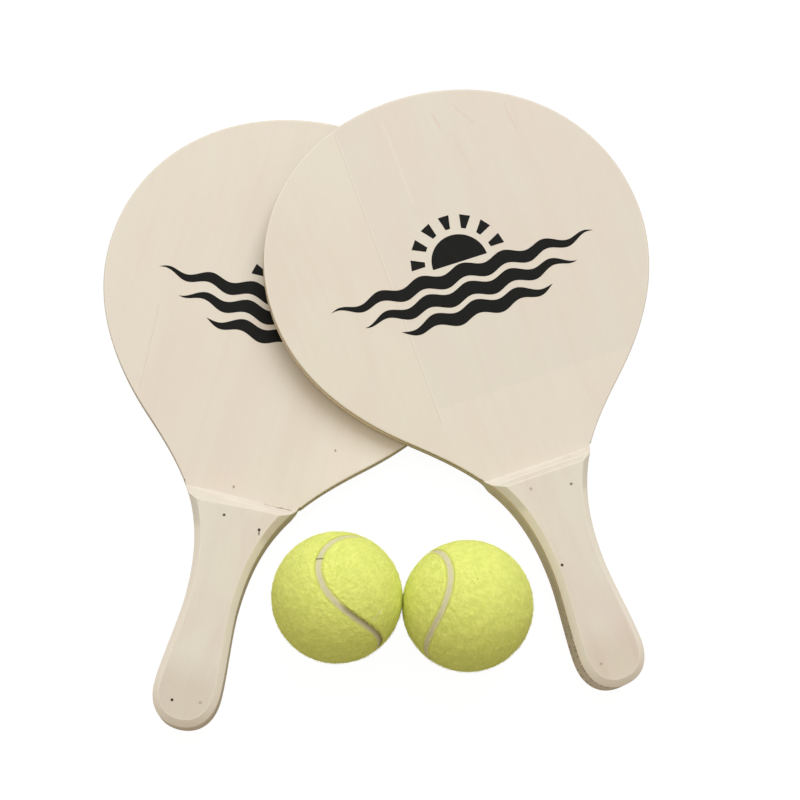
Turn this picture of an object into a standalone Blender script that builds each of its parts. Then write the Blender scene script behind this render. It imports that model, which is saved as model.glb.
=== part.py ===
"""Beach paddle ball set: two plywood bats, one lying on the other, and two felt balls beside them.

Units are metres, +Z is up. +Y points towards the bats' heads and +X to the right. The origin is the
centre of the set's footprint on the floor. Run it with blender --background --python part.py.
"""
import math
from itertools import combinations
from typing import NamedTuple

import bmesh
import bpy
import numpy as np
from mathutils import Euler, Matrix, Vector

MM = 0.001
CONTACT_GAP = 0.3 * MM
MERGE_DISTANCE = 0.01 * MM
CUT_TOLERANCE = 0.001 * MM
SMOOTH_ANGLE = math.radians(30)

# Bat outline, half widths from the centre line and stations along it
BAT_LENGTH = 327.5 * MM
HEAD_HALF_WIDTH = 101.7 * MM
HEAD_WIDEST_FROM_TIP = 93.0 * MM
SHOULDER_HALF_WIDTH = 56.8 * MM
SHOULDER_BELOW_WIDEST = 85.9 * MM
SHOULDER_SLOPE = math.radians(47.7)
WAIST_HALF_WIDTH = 13.3 * MM
WAIST_FROM_BUTT = 62.5 * MM
FLARE_HALF_WIDTH = 16.5 * MM
FLARE_FROM_BUTT = 19.0 * MM

# How far the curve keeps its heading at both ends of each run, as a share of the run's length
CROWN_TO_SIDE = (0.406, 0.404)
SIDE_TO_SHOULDER = (0.448, 0.195)
SHOULDER_TO_WAIST = (0.384, 0.439)
WAIST_TO_FLARE = (0.269, 0.248)
FLARE_TO_BUTT = (0.510, 0.372)
OUTLINE_STEPS = 11

# Blade and grip scales
BLADE_THICKNESS = 7.0 * MM
RIM_ROUNDING = 0.8 * MM
GRIP_LENGTH = 118.9 * MM
SCALE_THICKNESS = 7.5 * MM
SCALE_ROUNDING = 3.8 * MM
SCALE_ROUNDING_STEPS = 3

# The scale's head end is sanded in two slopes, up to the knee and on to the flat face
KNEE_RUN = 3.4 * MM
KNEE_HEIGHT = 4.2 * MM
RAMP_RUN = 6.8 * MM

# Brads
BRAD_SHANK_RADIUS = 0.55 * MM
BRAD_HEAD_RADIUS = 0.8 * MM
BRAD_HEAD_LENGTH = 0.8 * MM
BRAD_POINT_LENGTH = 1.2 * MM
BRAD_SUNK = 0.25 * MM
BRAD_POINT_SPACING = 0.6 * MM
BRAD_CLEARANCE = 0.12 * MM
BRAD_SIDES = 8
DRILL_ABOVE_FACE = 1.0 * MM


class BradPlace(NamedTuple):
    """One hand-driven brad: its distance right of the centre line and its distance from the butt."""

    right: float
    from_butt: float


LEFT_BAT_BRADS = (
    BradPlace(-5.1 * MM, GRIP_LENGTH - 12.4 * MM),
    BradPlace(13.8 * MM, GRIP_LENGTH - 15.4 * MM),
    BradPlace(-5.4 * MM, FLARE_FROM_BUTT - 7.5 * MM),
    BradPlace(8.2 * MM, FLARE_FROM_BUTT - 5.4 * MM),
)
RIGHT_BAT_BRADS = (
    BradPlace(-9.6 * MM, GRIP_LENGTH - 11.8 * MM),
    BradPlace(10.7 * MM, GRIP_LENGTH - 16.0 * MM),
    BradPlace(-8.6 * MM, WAIST_FROM_BUTT + 3.4 * MM),
    BradPlace(-8.0 * MM, FLARE_FROM_BUTT - 5.5 * MM),
)

# Balls
BALL_RADIUS = 32.0 * MM
FELT_THICKNESS = 3.2 * MM
CORE_WALL = 3.4 * MM
CORE_CLEARANCE = 0.6 * MM
SEAM_WIDTH = 4.0 * MM
SEAM_RECESS = 0.7 * MM
SEAM_SWING = 0.12
SEAM_STEPS = 48
LOBE_TIP = 0.75 * math.pi
PANEL_CROSS_STEPS = 8
CORE_SIDES = 20
CORE_ARC_STEPS = 6
LEFT_BALL_TURN = Euler([math.radians(d) for d in (-43.4, 57.9, 123.8)])
RIGHT_BALL_TURN = Euler([math.radians(d) for d in (-36.4, 5.1, -53.4)])

# Layout on the floor, from the point midway between the balls
BALL_PAIR_TURN = math.radians(-3.6)
LEFT_BAT_YAW = math.radians(-14.0)
LEFT_WAIST_CLEARANCE = 17.2 * MM
LEFT_WAIST_UP = -0.2 * MM
RIGHT_BAT_YAW = math.radians(20.0)
RIGHT_WAIST_CLEARANCE = 10.6 * MM
RIGHT_WAIST_UP = 19.1 * MM

# How a bat's rest is found
SUPPORT_TRIES = 60
REST_PASSES = 4
SUPPORT_SLACK = 1e-9
REST_SLACK = 1e-8


class Finish(NamedTuple):
    """A plain finish: linear red, green and blue, roughness and metallic share."""

    colour: tuple
    roughness: float
    metallic: float = 0.0


BLADE_WOOD = Finish((0.78, 0.69, 0.56), 0.62)
SCALE_WOOD = Finish((0.72, 0.64, 0.52), 0.66)
BRAD_STEEL = Finish((0.10, 0.09, 0.08), 0.5, metallic=1.0)
FELT_YELLOW = Finish((0.62, 0.68, 0.10), 0.95)
SEAM_CREAM = Finish((0.70, 0.66, 0.50), 0.75)
CORE_RUBBER = Finish((0.06, 0.06, 0.06), 0.8)


def start_scene():
    """Remove the scene's objects and make the collections for the parts and for the cutters."""
    for obj in list(bpy.data.objects):
        bpy.data.objects.remove(obj)
    parts = bpy.data.collections.new("beach_paddle_ball_set")
    cutters = bpy.data.collections.new("cutters")
    for collection in (parts, cutters):
        bpy.context.scene.collection.children.link(collection)
    return parts, cutters


def make_material(name, finish):
    """A Principled BSDF material with a plain finish."""
    material = bpy.data.materials.new(name)
    material.use_nodes = True
    shader = material.node_tree.nodes["Principled BSDF"]
    shader.inputs["Base Color"].default_value = (*finish.colour, 1.0)
    shader.inputs["Roughness"].default_value = finish.roughness
    shader.inputs["Metallic"].default_value = finish.metallic
    return material


def add_object(name, mesh, collection, parent=None, material=None):
    """Link a mesh into a collection as a named object under a parent."""
    obj = bpy.data.objects.new(name, mesh)
    collection.objects.link(obj)
    obj.parent = parent
    if material is not None:
        mesh.materials.append(material)
    return obj


def add_empty(name, collection, parent=None):
    """An empty that carries the pieces of one sub-assembly."""
    return add_object(name, None, collection, parent)


def mesh_from_bmesh(name, bm):
    """Turn a bmesh into a mesh, with smooth shading where the faces meet at a shallow angle."""
    bmesh.ops.recalc_face_normals(bm, faces=bm.faces)
    mesh = bpy.data.meshes.new(name)
    bm.to_mesh(mesh)
    bm.free()
    mesh.shade_smooth()
    mesh.set_sharp_from_angle(angle=SMOOTH_ANGLE)
    return mesh


def evaluated_mesh(obj):
    """A new mesh of the object as its modifiers leave it."""
    depsgraph = bpy.context.evaluated_depsgraph_get()
    return bpy.data.meshes.new_from_object(obj.evaluated_get(depsgraph))


# Bat outline


class OutlinePoint(NamedTuple):
    """A point of the half outline, with the curve's heading there as a turn from straight down."""

    half_width: float
    from_tip: float
    heading: float

    def place(self):
        """The point in the bat's own frame."""
        return Vector((self.half_width, -self.from_tip, 0.0))

    def way(self):
        """The unit direction of the curve at the point."""
        return Vector((math.sin(self.heading), -math.cos(self.heading), 0.0))


def half_outline():
    """The points of the right half of the bat's outline from tip to butt, and the runs between them."""
    across, down = math.pi / 2, 0.0
    points = (
        OutlinePoint(0.0, 0.0, across),
        OutlinePoint(HEAD_HALF_WIDTH, HEAD_WIDEST_FROM_TIP, down),
        OutlinePoint(SHOULDER_HALF_WIDTH, HEAD_WIDEST_FROM_TIP + SHOULDER_BELOW_WIDEST, -SHOULDER_SLOPE),
        OutlinePoint(WAIST_HALF_WIDTH, BAT_LENGTH - WAIST_FROM_BUTT, down),
        OutlinePoint(FLARE_HALF_WIDTH, BAT_LENGTH - FLARE_FROM_BUTT, down),
        OutlinePoint(0.0, BAT_LENGTH, -across),
    )
    runs = (CROWN_TO_SIDE, SIDE_TO_SHOULDER, SHOULDER_TO_WAIST, WAIST_TO_FLARE, FLARE_TO_BUTT)
    return points, runs


def curve_points():
    """Handle in, place and handle out of each point of the closed outline, down the right side first."""
    points, runs = half_outline()
    out = [0.0] * len(points)
    into = [0.0] * len(points)
    for index, (leaving, arriving) in enumerate(runs):
        length = (points[index + 1].place() - points[index].place()).length
        out[index], into[index + 1] = leaving * length, arriving * length
    into[0], out[-1] = out[0], into[-1]
    right = [
        (point.place() - point.way() * before, point.place(), point.place() + point.way() * after)
        for point, before, after in zip(points, into, out)
    ]
    mirror = Matrix.Diagonal((-1.0, 1.0, 1.0))
    left = [tuple(mirror @ v for v in reversed(trio)) for trio in reversed(right[1:-1])]
    return right + left


def outline_slab(name, thickness):
    """The whole bat outline as a flat slab of a thickness, standing on Z = 0."""
    curve = bpy.data.curves.new(name, "CURVE")
    curve.dimensions = "2D"
    curve.fill_mode = "BOTH"
    curve.extrude = thickness / 2
    curve.resolution_u = OUTLINE_STEPS
    spline = curve.splines.new("BEZIER")
    trios = curve_points()
    spline.bezier_points.add(len(trios) - 1)
    for bezier, (handle_in, place, handle_out) in zip(spline.bezier_points, trios):
        bezier.handle_left_type = bezier.handle_right_type = "FREE"
        bezier.handle_left, bezier.co, bezier.handle_right = handle_in, place, handle_out
    spline.use_cyclic_u = True
    guide = bpy.data.objects.new(name, curve)
    bpy.context.scene.collection.objects.link(guide)
    mesh = evaluated_mesh(guide)
    bpy.data.objects.remove(guide)
    bm = bmesh.new()
    bm.from_mesh(mesh)
    bmesh.ops.remove_doubles(bm, verts=bm.verts, dist=MERGE_DISTANCE)
    bmesh.ops.translate(bm, verts=bm.verts, vec=(0.0, 0.0, thickness / 2))
    return bm


def rim_edges(bm, height, reaches_to):
    """The outline's edges at a height, as far from the tip as the given distance."""
    def on_rim(edge):
        level = all(abs(v.co.z - height) < MERGE_DISTANCE for v in edge.verts)
        corner = len({round(f.normal.z) for f in edge.link_faces}) == 2
        return level and corner and all(v.co.y > -reaches_to for v in edge.verts)
    return [edge for edge in bm.edges if on_rim(edge)]


# Bat pieces


def blade_mesh():
    """The plywood blade: head and middle layer of the handle, with the head's rims sanded round."""
    bm = outline_slab("blade", BLADE_THICKNESS)
    bm.normal_update()
    head_end = BAT_LENGTH - GRIP_LENGTH - CONTACT_GAP
    rims = rim_edges(bm, 0.0, head_end) + rim_edges(bm, BLADE_THICKNESS, head_end)
    bmesh.ops.bevel(bm, geom=rims, offset=RIM_ROUNDING, segments=1, profile=0.5, affect="EDGES")
    return mesh_from_bmesh("blade", bm)


def sand_slope(bm, low, high):
    """Take away what lies above the slope from a low point to a high point of the centre plane."""
    rise = high - low
    cut = bmesh.ops.bisect_plane(
        bm, geom=bm.verts[:] + bm.edges[:] + bm.faces[:], dist=CUT_TOLERANCE,
        plane_co=low, plane_no=Vector((0.0, rise.z, -rise.y)).normalized(), clear_outer=True,
    )
    cut_edges = [item for item in cut["geom_cut"] if isinstance(item, bmesh.types.BMEdge)]
    bmesh.ops.contextual_create(bm, geom=cut_edges)
    bmesh.ops.dissolve_degenerate(bm, dist=CUT_TOLERANCE, edges=bm.edges)


def scale_mesh():
    """A grip scale lying on Z = 0: long edges rounded over, head end sanded down in two slopes."""
    bm = outline_slab("grip_scale", SCALE_THICKNESS)
    bm.normal_update()
    rims = rim_edges(bm, SCALE_THICKNESS, BAT_LENGTH + CONTACT_GAP)
    bmesh.ops.bevel(
        bm, geom=rims, offset=SCALE_ROUNDING, segments=SCALE_ROUNDING_STEPS, profile=0.5, affect="EDGES"
    )
    foot = Vector((0.0, GRIP_LENGTH - BAT_LENGTH, 0.0))
    knee = foot + Vector((0.0, -KNEE_RUN, KNEE_HEIGHT))
    crest = foot + Vector((0.0, -RAMP_RUN, SCALE_THICKNESS))
    sand_slope(bm, foot, knee)
    sand_slope(bm, knee, crest)
    return mesh_from_bmesh("grip_scale", bm)


def brad_profile(clearance, past_head):
    """Points down a brad's side from its head to its point, grown by a clearance for its hole."""
    bite = (BLADE_THICKNESS - BRAD_POINT_SPACING) / 2
    length = SCALE_THICKNESS + CONTACT_GAP + bite - BRAD_SUNK
    shank, head = BRAD_SHANK_RADIUS + clearance, BRAD_HEAD_RADIUS + clearance
    return (
        (0.0, past_head),
        (head, past_head),
        (head, -BRAD_HEAD_LENGTH - clearance),
        (shank, -BRAD_HEAD_LENGTH - clearance),
        (shank, -length + BRAD_POINT_LENGTH - clearance),
        (0.0, -length - clearance),
    )


def turned_mesh(name, profile, sides):
    """A closed turned solid: the profile runs from the axis at the top, down the side, to the axis."""
    mesh = bpy.data.meshes.new(name)
    edges = [(i, i + 1) for i in range(len(profile) - 1)]
    mesh.from_pydata([(r, 0.0, z) for r, z in profile], edges, [])
    guide = bpy.data.objects.new(name, mesh)
    bpy.context.scene.collection.objects.link(guide)
    screw = guide.modifiers.new("turn", "SCREW")
    screw.steps = screw.render_steps = sides
    screw.use_merge_vertices = True
    screw.merge_threshold = MERGE_DISTANCE
    turned = evaluated_mesh(guide)
    bpy.data.objects.remove(guide)
    bm = bmesh.new()
    bm.from_mesh(turned)
    bmesh.ops.remove_doubles(bm, verts=bm.verts, dist=CUT_TOLERANCE)
    return mesh_from_bmesh(name, bm)


def brad_matrix(place, front):
    """Where a brad's head sits in the bat: on the front scale, or on the rear one, mirrored."""
    face = BLADE_THICKNESS + CONTACT_GAP + SCALE_THICKNESS - BRAD_SUNK
    if front:
        return Matrix.Translation((place.right, place.from_butt - BAT_LENGTH, face))
    turn = Matrix.Rotation(math.pi, 4, "Y")
    return Matrix.Translation((-place.right, place.from_butt - BAT_LENGTH, BLADE_THICKNESS - face)) @ turn


def drill_cutter(name, brads, collection, bat):
    """One cutter that drills every brad's hole in a bat."""
    bm = bmesh.new()
    single = turned_mesh("drill", brad_profile(BRAD_CLEARANCE, BRAD_SUNK + DRILL_ABOVE_FACE), BRAD_SIDES)
    for front in (True, False):
        for place in brads:
            copy = single.copy()
            copy.transform(brad_matrix(place, front))
            bm.from_mesh(copy)
    cutter = add_object(name, mesh_from_bmesh(name, bm), collection, bat)
    cutter.hide_render = True
    cutter.display_type = "WIRE"
    return cutter


def drill(obj, cutter):
    """Cut the brads' holes in one wooden piece."""
    boolean = obj.modifiers.new("brad_holes", "BOOLEAN")
    boolean.operation = "DIFFERENCE"
    boolean.solver = "EXACT"
    boolean.object = cutter


def build_bat(side, brads, parts, cutters, root, woods, steel):
    """One bat under its own empty: blade, two grip scales and their brads."""
    bat = add_empty(f"{side}_bat", parts, root)
    cutter = drill_cutter(f"{side}_drill", brads, cutters, bat)
    blade = add_object(f"{side}_blade", blade_mesh(), parts, bat, woods["blade"])
    front = add_object(f"{side}_front_scale", scale_mesh(), parts, bat, woods["scale"])
    front.location.z = BLADE_THICKNESS + CONTACT_GAP
    rear = add_object(f"{side}_rear_scale", scale_mesh(), parts, bat, woods["scale"])
    rear.location.z = -CONTACT_GAP
    rear.rotation_euler.y = math.pi
    for piece in (blade, front, rear):
        drill(piece, cutter)
    brad = turned_mesh("brad", brad_profile(0.0, 0.0), BRAD_SIDES)
    for face, on_front in (("front", True), ("rear", False)):
        for number, place in enumerate(brads, start=1):
            pin = add_object(f"{side}_{face}_brad_{number}", brad.copy(), parts, bat, steel)
            pin.matrix_local = brad_matrix(place, on_front)
    return bat


# How a bat comes to rest


def local_points(bat):
    """All corners of a bat's wooden pieces, in the bat's own frame."""
    bpy.context.view_layer.update()
    to_bat = bat.matrix_world.inverted()
    wood = [child for child in bat.children if child.name.endswith(("blade", "scale"))]
    return [to_bat @ child.matrix_world @ v.co for child in wood for v in evaluated_mesh(child).vertices]


def balance_point(bat):
    """The bat's centre of mass in its own frame, taking all its wood as equally dense."""
    total, moment = 0.0, Vector()
    to_bat = bat.matrix_world.inverted()
    for child in bat.children:
        if not child.name.endswith(("blade", "scale")):
            continue
        bm = bmesh.new()
        bm.from_mesh(evaluated_mesh(child))
        bm.transform(to_bat @ child.matrix_world)
        for a, b, c in (tri_verts(loops) for loops in bm.calc_loop_triangles()):
            share = a.dot(b.cross(c)) / 6.0
            total += share
            moment += share * (a + b + c) / 4.0
        bm.free()
    return moment / total


def tri_verts(loops):
    """The three corners of a loop triangle."""
    return [loop.vert.co.copy() for loop in loops]


def inside(polygon, x, y):
    """Whether a plan point lies inside a polygon, an array of its corners."""
    ax, ay = polygon[:, 0], polygon[:, 1]
    bx, by = np.roll(ax, -1), np.roll(ay, -1)
    spans = (ay > y) != (by > y)
    cross = ax[spans] + (y - ay[spans]) * (bx[spans] - ax[spans]) / (by[spans] - ay[spans])
    return np.count_nonzero(cross > x) % 2 == 1


def lowest_plane(places, floors, balance):
    """The plane of least height at the balance point that is nowhere below the floors at the places.

    It stands on three of the places, around the balance point. The three are found by adding the
    place that lies deepest under each trial plane until none does.
    """
    places, floors = np.asarray(places), np.asarray(floors)
    rows = np.column_stack((np.ones(len(places)), places))
    target = np.array((1.0, *balance))
    spread = (rows[:, 1], -rows[:, 1], rows[:, 2], -rows[:, 2])
    active = {int(np.argmax(floors))} | {int(np.argmax(side)) for side in spread}
    for _ in range(SUPPORT_TRIES):
        best = None
        for trio in combinations(sorted(active), 3):
            system = rows[list(trio)]
            if abs(np.linalg.det(system)) < SUPPORT_SLACK:
                continue
            plane = np.linalg.solve(system, floors[list(trio)])
            weights = np.linalg.solve(system.T, target)
            held = rows[list(active)] @ plane >= floors[list(active)] - SUPPORT_SLACK
            if weights.min() >= -SUPPORT_SLACK and held.all():
                best = plane
                break
        if best is None:
            raise ValueError("no three supports surround the balance point")
        depth = floors - rows @ best
        deepest = int(np.argmax(depth))
        if depth[deepest] < REST_SLACK:
            return best
        active.add(deepest)
    return best


def outline_in_plan(bat):
    """The bat's outline as seen from above, as corners in order."""
    bm = outline_slab("plan", BLADE_THICKNESS)
    corners = np.array([tuple((bat.matrix_world @ corner).xy) for corner in ordered_rim(bm)])
    bm.free()
    return corners


def ordered_rim(bm):
    """The lower rim's corners, walked from edge to edge."""
    low = [e for e in bm.edges if all(v.co.z < MERGE_DISTANCE for v in e.verts)]
    rim = {v: [] for e in low for v in e.verts}
    for edge in low:
        if any(abs(f.calc_center_median().z) > MERGE_DISTANCE for f in edge.link_faces):
            first, second = edge.verts
            rim[first].append(second)
            rim[second].append(first)
    start = next(v for v, near in rim.items() if len(near) == 2)
    walk, previous, current = [start.co.copy()], start, rim[start][0]
    while current is not start:
        walk.append(current.co.copy())
        following = next(v for v in rim[current] if v is not previous)
        previous, current = current, following
    return walk


def tilted_turn(yaw, plane):
    """The turn of a bat that heads along yaw and lies in a plane given by its rise along X and Y."""
    rise_x, rise_y = plane[1], plane[2]
    up = Vector((rise_x, rise_y, math.sqrt(1.0 - rise_x ** 2 - rise_y ** 2)))
    return Matrix.Rotation(yaw, 3, "Z") @ up.rotation_difference(Vector((0.0, 0.0, 1.0))).to_matrix()


def place_bat(bat, yaw, plane, waist_xy):
    """Turn and lift a bat so that its waist is over a plan point."""
    turn = tilted_turn(yaw, plane)
    waist = turn @ Vector((0.0, WAIST_FROM_BUTT - BAT_LENGTH, 0.0))
    shift = Vector((waist_xy[0] - waist.x, waist_xy[1] - waist.y, plane[0]))
    bat.matrix_world = Matrix.Translation(shift) @ turn.to_4x4()
    bpy.context.view_layer.update()


def lay_bat(bat, yaw, waist_xy, under=None):
    """Let a bat come to rest on the floor and, where there is one, on the bat under it."""
    points, balance = local_points(bat), balance_point(bat)
    plane = (SCALE_THICKNESS + CONTACT_GAP, 0.0, 0.0)
    for _ in range(REST_PASSES):
        place_bat(bat, yaw, plane, waist_xy)
        level = math.sqrt(1.0 - plane[1] ** 2 - plane[2] ** 2)
        places = [(p.x, p.y) for p in points]
        floors = [-level * p.z for p in points]
        if under is not None:
            add_lower_bat(bat, under, points, places, floors, level)
        plane = lowest_plane(places, floors, (balance.x, balance.y))
    place_bat(bat, yaw, plane, waist_xy)


def add_lower_bat(bat, under, points, places, floors, level):
    """Raise the floors where the lower bat's face lies under this bat, for both bats' corners."""
    to_under, from_bat = under.matrix_world.inverted(), bat.matrix_world
    lower_outline, upper_outline = outline_in_plan(under), outline_in_plan(bat)
    face = under.matrix_world.to_3x3() @ Vector((0.0, 0.0, 1.0))
    lift = BLADE_THICKNESS / face.z + CONTACT_GAP
    base = under.matrix_world.translation

    def face_height(spot):
        return base.z - (face.x * (spot.x - base.x) + face.y * (spot.y - base.y)) / face.z + lift

    for index, point in enumerate(points):
        spot = from_bat @ point
        if inside(lower_outline, spot.x, spot.y):
            floors[index] = max(floors[index], face_height(spot) - level * point.z)
    plan_axes = np.array(from_bat.to_3x3())[:2, :2]
    for x, y in lower_outline:
        if inside(upper_outline, x, y):
            shift = np.array((x - from_bat.translation.x, y - from_bat.translation.y))
            places.append(tuple(np.linalg.solve(plan_axes, shift)))
            floors.append(face_height(Vector((x, y))))


# Balls


def seam_point(turn):
    """A point of the closed seam curve on a unit ball, with the direction along it."""
    wide = 1.0 - SEAM_SWING
    rise = 2.0 * math.sqrt(wide * SEAM_SWING)
    point = Vector((
        wide * math.cos(turn) + SEAM_SWING * math.cos(3 * turn),
        wide * math.sin(turn) - SEAM_SWING * math.sin(3 * turn),
        rise * math.sin(2 * turn),
    ))
    along = Vector((
        -wide * math.sin(turn) - 3 * SEAM_SWING * math.sin(3 * turn),
        wide * math.cos(turn) - 3 * SEAM_SWING * math.cos(3 * turn),
        2 * rise * math.cos(2 * turn),
    ))
    return point.normalized(), along.normalized()


def beside_seam(turn, distance):
    """A point of the unit ball at an arc length beside the seam, on the upper panel's side if above 0."""
    point, along = seam_point(turn)
    aside = point.cross(along)
    angle = distance / BALL_RADIUS
    return point * math.cos(angle) + aside * math.sin(angle)


def arc_points(start, end, steps):
    """Points of the great circle arc from one point of the unit ball to another, both included."""
    angle = start.angle(end)
    return [
        (start * math.sin(angle * (1 - i / steps)) + end * math.sin(angle * i / steps)) / math.sin(angle)
        for i in range(steps + 1)
    ]


def shell_mesh(name, points, faces, outer, inner):
    """Close a patch of the unit ball into a shell between two radii."""
    bm = bmesh.new()
    top = [bm.verts.new(p * outer) for p in points]
    low = [bm.verts.new(p * inner) for p in points]
    sides = set()
    for face in faces:
        bm.faces.new([top[i] for i in face])
        bm.faces.new([low[i] for i in reversed(face)])
        sides.update(zip(face, face[1:] + face[:1]))
    for i, j in sorted(sides):
        if (j, i) not in sides:
            bm.faces.new((top[j], top[i], low[i], low[j]))
    return mesh_from_bmesh(name, bm)


def panel_patch():
    """The upper felt panel as a patch of the unit ball: arcs across it, from lobe tip to lobe tip."""
    half = SEAM_STEPS // 2
    edge = SEAM_WIDTH / 2
    points = [beside_seam(LOBE_TIP, edge)]
    for step in range(1, half):
        turn = 2.0 * math.pi * step / SEAM_STEPS
        first, last = beside_seam(LOBE_TIP + turn, edge), beside_seam(LOBE_TIP - turn, edge)
        points += arc_points(first, last, PANEL_CROSS_STEPS)
    points.append(beside_seam(LOBE_TIP + math.pi, edge))
    width = PANEL_CROSS_STEPS + 1
    faces = [(0, 1 + i, 2 + i) for i in range(PANEL_CROSS_STEPS)]
    for row in range(half - 2):
        start = 1 + row * width
        faces += [(start + i, start + width + i, start + width + i + 1, start + i + 1)
                  for i in range(PANEL_CROSS_STEPS)]
    last_row, tip = 1 + (half - 2) * width, len(points) - 1
    faces += [(last_row + i, tip, last_row + i + 1) for i in range(PANEL_CROSS_STEPS)]
    return points, faces


def panel_mesh():
    """A felt panel as a shell of the felt's thickness."""
    return shell_mesh("felt_panel", *panel_patch(), BALL_RADIUS, BALL_RADIUS - FELT_THICKNESS)


def seam_mesh():
    """The seam strip: a closed loop between the panels, a little below the felt's surface."""
    edge = SEAM_WIDTH / 2 - CONTACT_GAP
    points, faces = [], []
    for step in range(SEAM_STEPS):
        turn = LOBE_TIP + 2.0 * math.pi * step / SEAM_STEPS
        points += [beside_seam(turn, edge), beside_seam(turn, -edge)]
        here, following = 2 * step, 2 * ((step + 1) % SEAM_STEPS)
        faces.append((here, here + 1, following + 1, following))
    return shell_mesh("seam", points, faces, BALL_RADIUS - SEAM_RECESS, BALL_RADIUS - FELT_THICKNESS)


def core_mesh():
    """The upper half of the rubber core: a hollow half shell, open at the joint plane."""
    outer = BALL_RADIUS - FELT_THICKNESS - CORE_CLEARANCE
    inner = outer - CORE_WALL
    joint = CONTACT_GAP / 2
    angles = [math.pi / 2 * i / CORE_ARC_STEPS for i in range(CORE_ARC_STEPS + 1)]
    down = [(outer * math.sin(a), joint + (outer - joint) * math.cos(a)) for a in angles]
    back_up = [(inner * math.sin(a), joint + (inner - joint) * math.cos(a)) for a in reversed(angles)]
    return turned_mesh("core_half", down + back_up, CORE_SIDES)


def build_ball(side, centre, turn, parts, root, materials):
    """One ball under its own empty: two core halves, two felt panels and the seam strip."""
    ball = add_empty(f"{side}_ball", parts, root)
    ball.location = centre
    ball.rotation_euler = turn
    for name, flipped in (("upper", False), ("lower", True)):
        core = add_object(f"{side}_ball_core_{name}", core_mesh(), parts, ball, materials["core"])
        panel = add_object(f"{side}_ball_felt_{name}", panel_mesh(), parts, ball, materials["felt"])
        for piece in (core, panel):
            piece.rotation_euler.x = math.pi if flipped else 0.0
    add_object(f"{side}_ball_seam", seam_mesh(), parts, ball, materials["seam"])


# The whole set


def waist_places():
    """Plan points of the two bats' waists, beside the balls."""
    balls_reach = 2 * BALL_RADIUS + CONTACT_GAP / 2 + WAIST_HALF_WIDTH
    left = (-(balls_reach + LEFT_WAIST_CLEARANCE), LEFT_WAIST_UP)
    right = (balls_reach + RIGHT_WAIST_CLEARANCE, RIGHT_WAIST_UP)
    return left, right


def centre_on_origin(parts, root):
    """Move the set so that the middle of its footprint is over the origin."""
    bpy.context.view_layer.update()
    corners = [
        obj.matrix_world @ v.co
        for obj in parts.objects if obj.type == "MESH"
        for v in evaluated_mesh(obj).vertices
    ]
    for axis in (0, 1):
        places = [corner[axis] for corner in corners]
        root.location[axis] -= (min(places) + max(places)) / 2


def main():
    """Build the set."""
    parts, cutters = start_scene()
    root = add_empty("paddle_ball_set", parts)
    woods = {
        "blade": make_material("blade_wood", BLADE_WOOD),
        "scale": make_material("scale_wood", SCALE_WOOD),
    }
    steel = make_material("brad_steel", BRAD_STEEL)
    ball_materials = {
        "core": make_material("core_rubber", CORE_RUBBER),
        "felt": make_material("yellow_felt", FELT_YELLOW),
        "seam": make_material("seam_rubber", SEAM_CREAM),
    }
    left_waist, right_waist = waist_places()
    left_bat = build_bat("left", LEFT_BAT_BRADS, parts, cutters, root, woods, steel)
    lay_bat(left_bat, LEFT_BAT_YAW, left_waist)
    right_bat = build_bat("right", RIGHT_BAT_BRADS, parts, cutters, root, woods, steel)
    lay_bat(right_bat, RIGHT_BAT_YAW, right_waist, under=left_bat)
    reach = Vector((math.cos(BALL_PAIR_TURN), math.sin(BALL_PAIR_TURN), 0.0))
    lift = Vector((0.0, 0.0, BALL_RADIUS))
    offset = reach * (BALL_RADIUS + CONTACT_GAP / 2)
    build_ball("left", lift - offset, LEFT_BALL_TURN, parts, root, ball_materials)
    build_ball("right", lift + offset, RIGHT_BALL_TURN, parts, root, ball_materials)
    centre_on_origin(parts, root)


main()
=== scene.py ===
"""Looks of the beach paddle ball set: two pale plywood bats, one lying on the other, and two felt balls.

Sizes are metres. A bat is modelled in its own frame, which is read off its solid: X across it, Y towards
the tip of the head, Z up through the blade, and the origin on the underside at the tip. A ball is modelled
around its centre. Every piece is then put in its place in its mesh.
"""
import logging
import math
from dataclasses import dataclass, field
from enum import Enum
from typing import Callable, Iterable, Sequence

import bmesh
import bpy
import numpy as np
from mathutils import Euler, Matrix, Vector, noise


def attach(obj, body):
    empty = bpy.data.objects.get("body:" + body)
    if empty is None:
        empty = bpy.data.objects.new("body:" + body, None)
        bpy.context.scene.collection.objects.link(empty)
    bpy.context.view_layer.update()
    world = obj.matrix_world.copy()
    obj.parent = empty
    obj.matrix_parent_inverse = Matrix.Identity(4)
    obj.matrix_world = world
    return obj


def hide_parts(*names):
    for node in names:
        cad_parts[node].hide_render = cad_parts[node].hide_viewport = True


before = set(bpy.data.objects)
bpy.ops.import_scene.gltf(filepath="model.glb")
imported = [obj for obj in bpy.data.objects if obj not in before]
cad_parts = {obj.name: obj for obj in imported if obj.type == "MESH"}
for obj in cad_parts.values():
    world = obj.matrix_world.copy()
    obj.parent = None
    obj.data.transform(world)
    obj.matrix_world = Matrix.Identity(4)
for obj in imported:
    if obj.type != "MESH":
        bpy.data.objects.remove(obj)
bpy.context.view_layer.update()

MM = 0.001
MERGE_DISTANCE = 0.01 * MM
BODY = "root"
LOG = logging.getLogger("paddle_ball_set")

Colour = tuple[float, float, float, float]
Corners = list[tuple[float, float]]
Socket = bpy.types.NodeSocket


class Slot(Enum):
    """The record's material slots, named in the log for each piece."""

    BLADE = "blade_plywood"
    GRIP = "grip_wood"
    BRAD = "brad_steel"
    INK = "print_ink"
    FELT = "yellow_felt"
    SEAM = "seam_rubber"


class Side(Enum):
    """Which bat or ball a piece belongs to."""

    LEFT = "left"
    RIGHT = "right"


class Face(Enum):
    """Which face of a bat a piece lies on."""

    FRONT = "front"
    REAR = "rear"


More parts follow.
